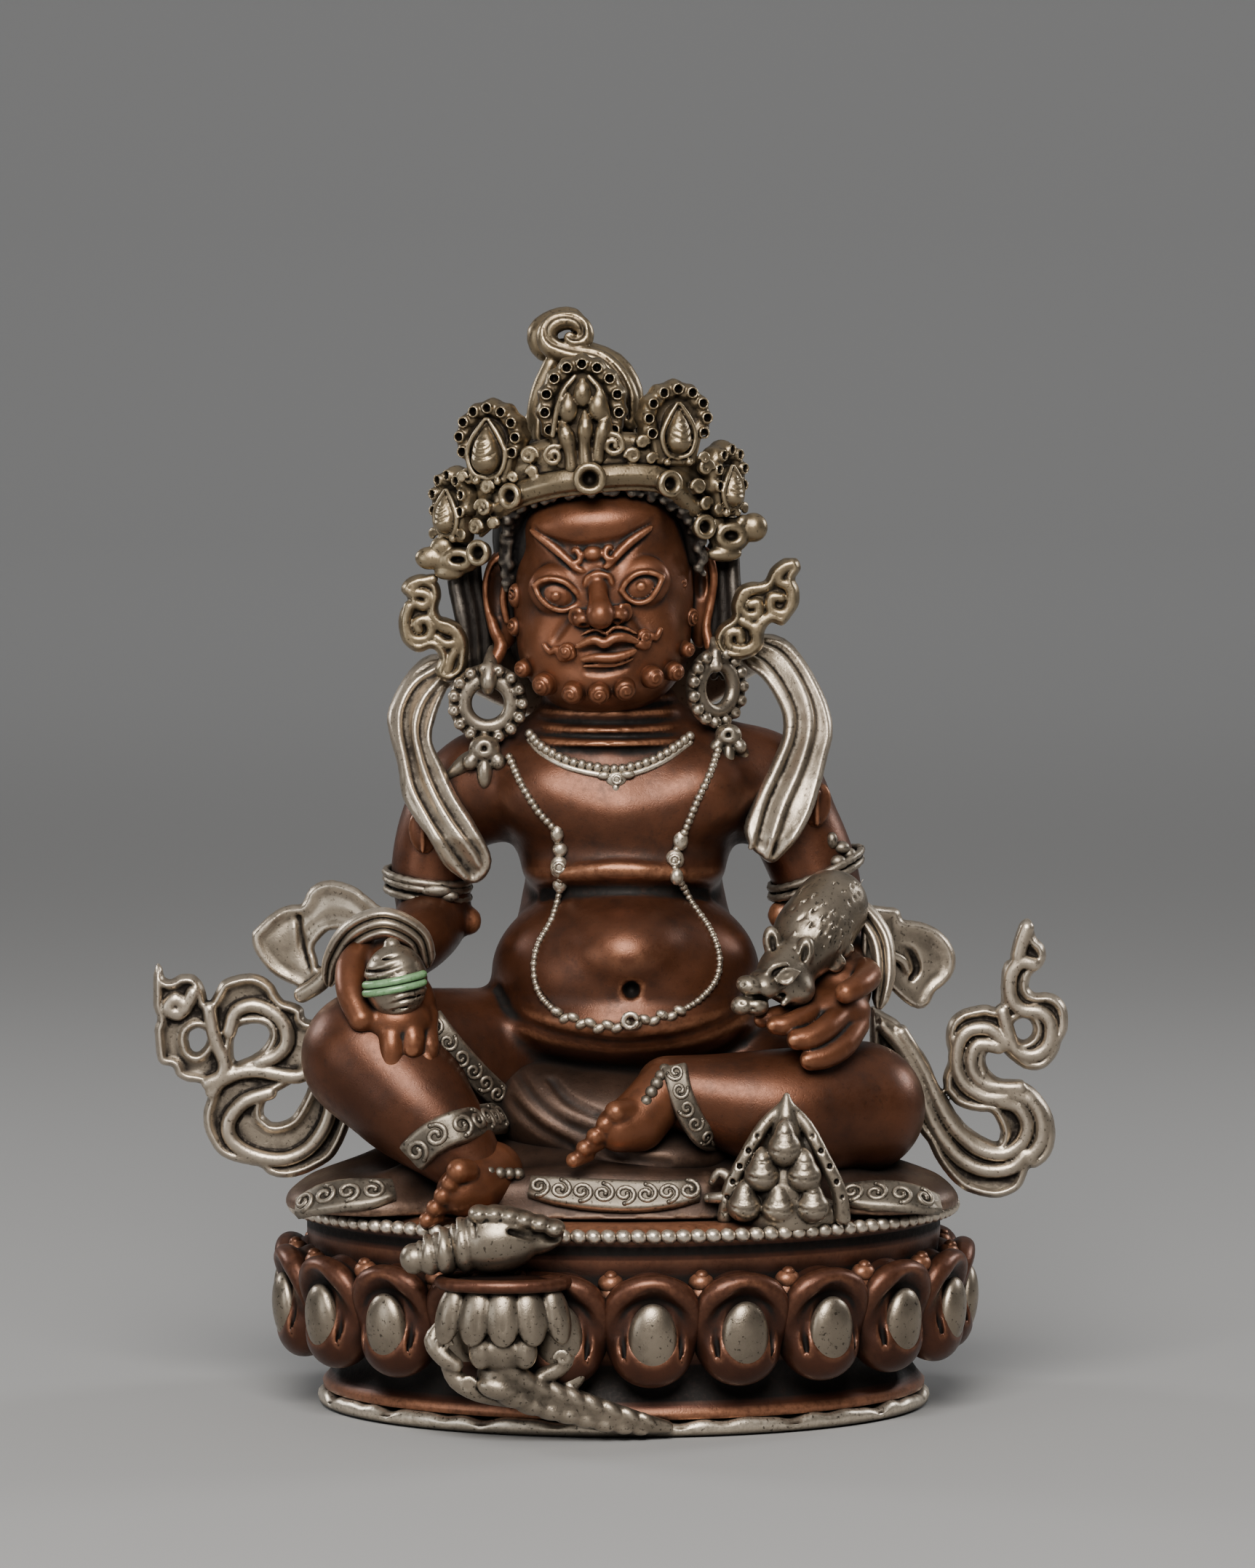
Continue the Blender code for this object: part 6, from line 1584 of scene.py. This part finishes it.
SWIRL_RIGHT = [(25.7, 42.0), (27.4, 41.4), (28.9, 40.4), (30.1, 38.6), (31.2, 37.5), (32.1, 36.0),
               (32.8, 34.2), (33.4, 33.4), (33.4, 34.8), (33.8, 36.0), (34.0, 36.9), (33.7, 38.3),
               (33.7, 39.5), (34.1, 40.7), (35.2, 41.7), (36.5, 42.1), (37.9, 42.3), (39.1, 42.0),
               (39.4, 42.6), (39.4, 44.2), (39.5, 45.7), (39.9, 46.8), (40.7, 47.3), (40.8, 48.6),
               (41.1, 50.0), (41.7, 51.1), (42.2, 51.4), (42.7, 50.9), (43.1, 49.4), (43.9, 48.6),
               (44.2, 47.4), (43.7, 46.2), (42.7, 45.4), (42.4, 44.2), (43.0, 43.6), (44.3, 43.6),
               (45.4, 43.2), (46.2, 42.3), (46.5, 41.0), (46.4, 39.5), (45.8, 38.3), (45.5, 37.3),
               (44.6, 36.0), (43.5, 35.4), (42.0, 35.5), (40.6, 36.4), (39.4, 37.5), (38.4, 37.5),
               (37.9, 36.7), (38.1, 35.7), (38.8, 34.9), (39.7, 34.5), (41.1, 34.4), (42.6, 33.8),
               (43.9, 32.5), (44.8, 31.0), (45.2, 29.3), (45.1, 27.5), (44.4, 26.0), (43.2, 25.1),
               (42.5, 25.0), (42.1, 24.0), (41.5, 22.9), (40.3, 22.2), (38.9, 21.9), (37.1, 22.2),
               (35.4, 22.9), (33.9, 24.3), (32.7, 26.0), (31.8, 27.8), (30.9, 29.0), (29.8, 31.0),
               (28.6, 34.5), (25.7, 38.0)]
RIGHT_HOLES = ([(33.6, 33.1), (34.2, 32.0), (35.0, 30.7), (36.2, 29.4), (37.7, 28.4), (39.1, 27.9),
                (39.4, 29.0), (39.0, 30.1), (38.4, 30.9), (37.1, 31.0), (35.8, 31.3), (34.6, 31.9)],
               [(40.8, 40.2), (41.6, 40.8), (42.4, 40.6), (42.8, 39.7), (42.4, 38.9), (41.7, 38.6),
                (41.1, 39.1)])
RIGHT_RIDGES = ([(27, 40.2), (29.2, 37.6), (30.6, 34.6), (31.8, 31.2), (33.3, 28.4), (35.4, 26.0),
                 (38, 24.9), (40.6, 25.2), (42.0, 26.6)],
                [(29.0, 39.4), (31.2, 35.8), (32.8, 32.4), (34.6, 29.4), (37.0, 27.2), (39.6, 26.6),
                 (41.6, 27.8), (42.2, 29.8), (41.2, 31.6), (39.4, 32.2)],
                [(40.6, 33.0), (42.6, 32.2), (43.7, 30.2), (43.6, 28.0), (42.4, 26.2)],
                [(39.2, 37.9), (37.2, 38.2), (36.3, 37.0), (36.5, 35.3), (37.8, 34.0), (39.8, 33.6),
                 (41.4, 33.6)],
                [(40.0, 38.2), (38.2, 39.8), (36.0, 39.6), (34.9, 38.0), (34.8, 35.8), (35.8, 33.8),
                 (38, 32.6), (40, 32.6)],
                [(39.6, 41.6), (40.2, 39.4), (41.0, 37.6), (42.8, 37.0), (44.4, 38.2), (44.6, 40.4),
                 (43.4, 41.6), (41.6, 41.8), (40.4, 43.2), (40.4, 45.4), (41.4, 46.8), (42.8, 46.6)],
                [(41.2, 47.4), (41.6, 49.0), (42.1, 50.4)])


def swirls():
    """The flying ends of the scarf at both sides."""
    left = Clay((-50.5, -5.2, 22.8), (-26, -0.8, 48), 0.2)
    left.plate(SWIRL_LEFT, LEFT_HOLES, -3, fluted)
    ridges(left, -3, 1.2, 0.78, LEFT_RIDGES)
    left.piece("swirl_left", "silver")
    right = Clay((24.8, -5.2, 20.8), (47.6, -0.8, 52.6), 0.2)
    right.plate(SWIRL_RIGHT, RIGHT_HOLES, -3, fluted)
    ridges(right, -3, 1.2, 0.78, RIGHT_RIDGES)
    right.piece("swirl_right", "silver")


def oval(half_width, angle, level):
    """A place on an oval of the base. The angle counts from the front towards the viewer's right."""
    across = half_width * np.sin(angle)
    depth = -OVAL_SHARE * half_width * np.cos(angle)
    return np.stack((across, depth, np.broadcast_to(level, across.shape)), axis=-1)


def even_angles(half_width, count, first):
    """Angles that share an oval's edge into equal lengths."""
    turns = first + np.linspace(0, 2 * np.pi, 2881)
    steps = np.linalg.norm(np.diff(oval(half_width, turns, 0.0), axis=0), axis=1)
    gone = np.concatenate(((0,), np.cumsum(steps)))
    return np.interp(np.arange(count) * gone[-1] / count, gone, turns)


def turned(profile, sides=256):
    """The rings of an oval body, from (half width, level) rows."""
    turns = np.linspace(0, 2 * np.pi, sides, endpoint=False)
    return [oval(reach, turns, level) for reach, level in profile]


def base_body():
    pile = Pile()
    profile = [(30.6, 1.7), (31.6, 1.9), (31.7, 2.5), (31.0, 3.3), (30.2, 4.4), (29.8, 5.6), (30.0, 6.6),
               (30.8, 7.4), (32.2, 8.8), (32.9, 11), (33.0, 16), (33.2, 17.4), (33.3, 18.4), (33.3, 19.6),
               (33.7, 20.1), (34.0, 20.5), (33.6, 21.0), (32.6, 21.4), (31.6, 21.9), (15, 21.9)]
    pile.loft(turned(profile))
    for angle in even_angles(PETAL_RING, PETALS, FIRST_PETAL + math.pi / PETALS):
        turn = facing_turn(angle)
        for out, level, radii in ((0.3, 14.4, (1.5, 1.3, 2.2)), (0.5, 16.2, (1.35, 1.15, 1.1)),
                                  (0.7, 17.0, (0.7, 0.7, 0.6))):
            pile.bead(oval(PETAL_RING + out, np.array(angle), level), radii, (0, 0, turn))
    pile.piece("base_body", "petal")


def facing_turn(angle):
    """The turn about Z, in degrees, of a thing that faces out of the base's oval at an angle."""
    ahead = oval(1, np.array(angle + 0.5 * math.pi), 0)
    return math.degrees(math.atan2(ahead[1], ahead[0]))


def base_foot():
    pile = Pile()
    profile = [(15, 0.02), (31.2, 0.02), (32.0, 0.3), (32.2, 0.9), (32.15, 1.2), (31.9, 1.5), (31.6, 1.7),
               (30, 1.7)]
    sides = 512
    rings = np.array(turned(profile, sides))
    turns = np.linspace(0, 2 * np.pi, sides, endpoint=False)
    wave = 0.13 * np.sin(turns * 31) + 0.14 * np.sin(turns * 17 + 1) + 0.1 * np.sin(turns * 47 + 2)
    rings[4:, :, 2] += wave
    pile.loft(rings)
    pile.piece("base_foot", "antique")


def petal():
    """One petal: a swelling tongue with a broad rolled edge round a hollow. Y is outwards, Z up."""
    clay = Clay((-5.8, -4.8, 5.4), (5.8, 1.8, 18.4), 0.26)
    clay.ball((0, 0.7, 11.6), (4.9, 3.1, 5.7), 0.3)
    clay.ball((0, -0.6, 9.0), (4.0, 2.5, 3.4), 1.2)
    clay.rod([(-3.0, 0.5, 8.6, 0.5), (-4.1, -0.3, 11.2, 0.8), (-3.95, -1.1, 13.8, 1.1),
              (-2.6, -1.7, 15.5, 1.25), (0, -2.0, 16.1, 1.3), (2.6, -1.7, 15.5, 1.25),
              (3.95, -1.1, 13.8, 1.1), (4.1, -0.3, 11.2, 0.8), (3.0, 0.5, 8.6, 0.5)], 0.6)
    clay.ball((0, -3.7, 12.2), (3.0, 2.3, 3.9), 0.6, carve=True)
    clay.rod([(-2.7, -1.9, 8.8, 0.3), (-3.05, -2.0, 11.2, 0.36), (-2.2, -2.4, 13.8, 0.36),
              (0, -2.7, 14.9, 0.36), (2.2, -2.4, 13.8, 0.36), (3.05, -2.0, 11.2, 0.36),
              (2.7, -1.9, 8.8, 0.3)], 0.3, True)
    return clay


def insert():
    clay = Clay((-3, -4.4, 6), (3, -0.6, 15.4), 0.2)
    clay.ball((0, -2.1, 10.7), (2.5, 1.45, 3.8), 0.1, (6, 0, 0))
    return clay


def ring_of_petals():
    """The petals and their silver inserts, copied round the base."""
    angles = even_angles(PETAL_RING, PETALS, FIRST_PETAL)
    for name, finish, clay in (("base_petals", "petal", petal()), ("base_inserts", "antique", insert())):
        places, faces = clay.surface()
        places = relax(places, faces, 1)
        pile = Pile()
        for angle in angles:
            at = oval(PETAL_RING, np.array(angle), 0.0)
            pile.add(places @ rotation((0, 0, facing_turn(angle))).T + at, faces)
        pile.piece(name, finish)


def rim():
    pile = Pile()
    for angle in even_angles(RIM_WIDE, RIM_BEADS, 0.0):
        at = oval(RIM_WIDE, np.array(angle), RIM_LEVEL)
        pile.bead(at, (0.86, 0.76, 0.74), (0, 24, facing_turn(angle)))
    pile.piece("base_rim", "silver")


def conch():
    clay = Clay((-25, -35.5, 15), (-3.5, -23, 27.5), 0.18)
    middle = np.array((-14.0, -29.4, 21.1))
    whorls = ((-7.2, -2.0, 1.5, 1.6), (-5.7, -1.6, 1.4, 2.1), (-4.1, -1.2, 1.4, 2.5), (-2.2, -0.6, 1.5, 2.9),
              (1.2, 0, 4.6, 3.4), (5.0, 0.2, 3.0, 1.8))
    for along, rise, half_length, radius in whorls:
        clay.ball(middle + (along, 0, rise), (half_length, radius, radius), 0.12, (0, -10, 0))
    for along, radius in ((-6.6, 1.95), (-5.0, 2.4), (-3.2, 2.85), (-1.2, 3.2)):
        rows = []
        for angle in np.linspace(0, 2 * math.pi, 25):
            up = middle[2] - 0.3 + 0.24 * along + radius * math.sin(angle)
            rows.append((middle[0] + along + 0.1, middle[1] + radius * math.cos(angle), up, 0.24))
        clay.rod(rows, 0.15, True, 1)
    for i, x in enumerate(np.linspace(-14.6, -7.0, 6)):
        clay.ball((x, -30.6, 23.9 - 0.16 * abs(i - 0.5) ** 1.5), (1.15, 1.9, 0.95), 0.3)
    clay.rod([(-15.6, -32.4, 19.4, 0.3), (-12, -33.0, 18.6, 0.35), (-8, -32.0, 19.4, 0.3)], 0.3, True)
    clay.rod([(-11.4, -32.2, 22.2, 0.35), (-8.8, -31.6, 21.6, 0.45), (-6.4, -30.2, 21.2, 0.3)], 0.3, True)
    clay.piece("base_conch", "antique")


def lotus_cup():
    """The small lotus under the conch: cup, calyx, scrolls and the leafy stem."""
    clay = Clay((-22, -35, 0.1), (7, -23.2, 18.4), 0.2)
    clay.ball((-12.2, -29.2, 13.8), (5.4, 3.2, 3.4), 0.3)
    for x, turn, size in ((-17.6, 28, 0.9), (-15.0, 16, 1.05), (-12.2, 0, 1.1), (-9.4, -16, 1.05),
                          (-6.8, -28, 0.9)):
        spot = np.array((x, -32.1 + 0.08 * abs(x + 12.2) ** 1.7, 13.6))
        clay.ball(spot, (1.65 * size, 1.15, 3.2), 0.1, (-8, 0.4 * turn, -1.2 * turn))
        clay.rod([(*(spot + (0, -1.25, -1.6)), 0.16), (*(spot + (0, -1.35, 1.4)), 0.16)], 0.15, True)
    clay.ball((-12.3, -29.3, 9.8), (3.5, 2.8, 2.4), 0.4)
    for x in (-14.4, -12.2, -10.0):
        clay.ball((x, -31.0, 9.8), (1.3, 1.1, 1.8), 0.12)
    stem = [(-12.6, -28.8, 7.2, 2.3), (-9.4, -28, 5.2, 2.0), (-5.6, -27.4, 3.9, 1.8), (-1.6, -26.8, 2.6, 1.5),
            (2.0, -26.2, 1.7, 1.1), (4.4, -25.8, 1.3, 0.7)]
    clay.rod(stem, 0.3)
    path = resample(stem, 0.2)
    for share in np.linspace(0.02, 0.86, 9):
        row = path[int(share * len(path))]
        for side in (-1, 1):
            size = row[3] * 0.62
            spot = row[:3] + (0.35 * side, -0.62 * row[3], 0.5 * side * row[3])
            clay.ball(spot, (1.5 * size, 0.8 * size, 0.85 * size), 0.08, (0, 25 + side * 12, 0))
    scrolls = (([(-18.6, -28.6, 12.4, 0.5), (-19.4, -28.8, 10.6, 0.9), (-18.2, -29.2, 9.0, 1.0),
                 (-17.0, -29.4, 8.2, 0.8)]),
               ([(-18.0, -28.6, 8.6, 0.8), (-16.9, -28.8, 6.6, 1.0), (-14.6, -28.8, 5.4, 1.1),
                 (-11.6, -28.4, 4.8, 1.1)]),
               ([(-6.2, -28.6, 10.4, 0.6), (-5.6, -28.8, 9.0, 0.9), (-6.6, -28.9, 7.8, 0.9),
                 (-8.2, -28.8, 7.0, 0.9)]),
               ([(-5.4, -28.0, 8.4, 0.7), (-4.6, -28.0, 7.0, 0.8), (-5.8, -27.8, 5.6, 0.9)]))
    for rows in scrolls:
        clay.rod(rows, 0.15)
    for x, z, radius, way in ((-18.3, 10.4, 0.9, 1), (-15.8, 6.2, 0.9, 1), (-6.2, 9.0, 0.85, -1),
                              (-9.4, 4.9, 0.8, 1)):
        Leaf(clay, (x, -29.7, z), 0).coil(0, 0, 0, radius, 0.26, way)
    clay.below(0.15)
    clay.piece("base_lotus_cup", "antique")
    lip = Clay((-19.5, -34, 15), (-5, -24.6, 18.4), 0.2)
    rows = []
    for angle in np.linspace(0, 2 * math.pi, 33):
        rows.append((-12.2 + 6.3 * math.cos(angle), -29.4 + 3.7 * math.sin(angle), 16.7, 0.7))
    lip.rod(rows, 0.2, soft=1)
    lip.ball((-12.2, -29.4, 16.4), (5.7, 3.2, 1.0), 0.3)
    lip.piece("base_lotus_lip", "petal")


def make_base():
    base_body()
    base_foot()
    ring_of_petals()
    rim()
    conch()
    lotus_cup()


def make_figure():
    body = sculpt_body()
    cords(body)
    hems(body)
    lap_cloth()
    body.piece("body", "copper")
    head = sculpt_head()
    curls(head)
    head.piece("head", "face")
    right_hand()
    left_hand()
    foot("right_foot", (-13.6, -17.8, 26.4, 3.3), (-15.4, -21.0, 25.2, 2.8), (-16.8, -24.2, 27.4),
         (-0.82, 0.25, -1.3), 1.5)
    foot("left_foot", (4.2, -17.6, 35.0, 3.0), (1.5, -19.4, 31.8, 3.0), (-0.8, -22.4, 33.2),
         (-1.08, -0.1, -1.22), 1.4)
    for make in (hair, crown, topknot, ribbons, earrings, scarves, armlets, upper_arm_leaves, wrist_scarves,
                 fruit, mongoose, anklets, jewel_heap, swirls):
        make()
    cloth = seat_cloth()
    seat_hem(cloth)
    cloth.piece("seat_cloth", "cloth")


def plain(name, colour, roughness):
    material = bpy.data.materials.new(name)
    material.use_nodes = True
    shader = material.node_tree.nodes["Principled BSDF"]
    shader.inputs["Base Color"].default_value = (*colour, 1)
    shader.inputs["Roughness"].default_value = roughness
    return material


def backdrop():
    """A grey floor that curves up far away."""
    rings = []
    profile = ((0, 0), (1.3, 0), (1.7, 0.02), (2.1, 0.12), (2.45, 0.36), (2.7, 0.8), (2.8, 1.5), (2.85, 2.6))
    sides = 96
    turns = np.linspace(0, 2 * np.pi, sides, endpoint=False)
    for reach, level in profile:
        rings.append(np.stack((reach * np.cos(turns), reach * np.sin(turns), np.full(sides, level)), axis=1))
    grid = np.arange(len(profile) * sides).reshape(-1, sides)
    after = np.roll(grid, -1, axis=1)
    quads = np.stack((grid[:-1], after[:-1], after[1:], grid[1:]), axis=-1).reshape(-1, 4)
    mesh = bpy.data.meshes.new("floor")
    mesh.from_pydata(np.vstack(rings).tolist(), [], quads[:, ::-1].tolist())
    mesh.polygons.foreach_set("use_smooth", [True] * len(mesh.polygons))
    mesh.materials.append(plain("floor", (0.27, 0.27, 0.27), 0.9))
    floor = bpy.data.objects.new("floor", mesh)
    bpy.context.scene.collection.objects.link(floor)


def lamps():
    """Soft round lights."""
    for name, place, target, size, power, colour in (
            ("key", (-0.04, -0.56, 0.44), (0, 0, 0.06), 0.4, 8.2, (1.0, 0.96, 0.91)),
            ("fill", (-0.45, -0.34, 0.12), (0, 0, 0.06), 0.3, 0.6, (0.95, 0.98, 1.0)),
            ("rim_left", (-0.42, 0.22, 0.24), (0, 0, 0.06), 0.14, 0.8, (1, 1, 1)),
            ("rim_right", (0.42, 0.2, 0.26), (0, 0, 0.06), 0.14, 0.9, (1, 1, 1)),
            ("backdrop", (0, 0.9, 1.5), (0, 2.8, 0.9), 1.0, 15, (1, 1, 1))):
        lamp = bpy.data.lights.new(name, "AREA")
        lamp.shape = "DISK"
        lamp.size = size
        lamp.energy = power
        lamp.color = colour
        light = bpy.data.objects.new(name, lamp)
        light.location = place
        light.rotation_euler = (Vector(target) - Vector(place)).to_track_quat("-Z", "Y").to_euler()
        bpy.context.scene.collection.objects.link(light)


def studio():
    """The floor, the lights and a mid-grey world."""
    backdrop()
    lamps()
    world = bpy.data.worlds.new("studio")
    world.use_nodes = True
    world.node_tree.nodes["Background"].inputs["Color"].default_value = (0.4, 0.4, 0.4, 1)
    world.node_tree.nodes["Background"].inputs["Strength"].default_value = 1.0
    bpy.context.scene.world = world


def camera():
    """The photograph's viewing angle: a little above, straight from the front."""
    lens = bpy.data.cameras.new("camera")
    lens.lens = SENSOR * FOCAL_PIXELS / PICTURE_HEIGHT
    lens.sensor_width = SENSOR
    lens.clip_end = 20
    made = bpy.data.objects.new("camera", lens)
    away = Vector((0, -math.cos(CAMERA_RISE), math.sin(CAMERA_RISE)))
    made.location = Vector(CAMERA_AIM) + CAMERA_DISTANCE * away
    made.rotation_euler = (math.radians(90) - CAMERA_RISE, 0, 0)
    bpy.context.scene.collection.objects.link(made)
    bpy.context.scene.camera = made


make_finishes()
make_base()
make_figure()
studio()
camera()
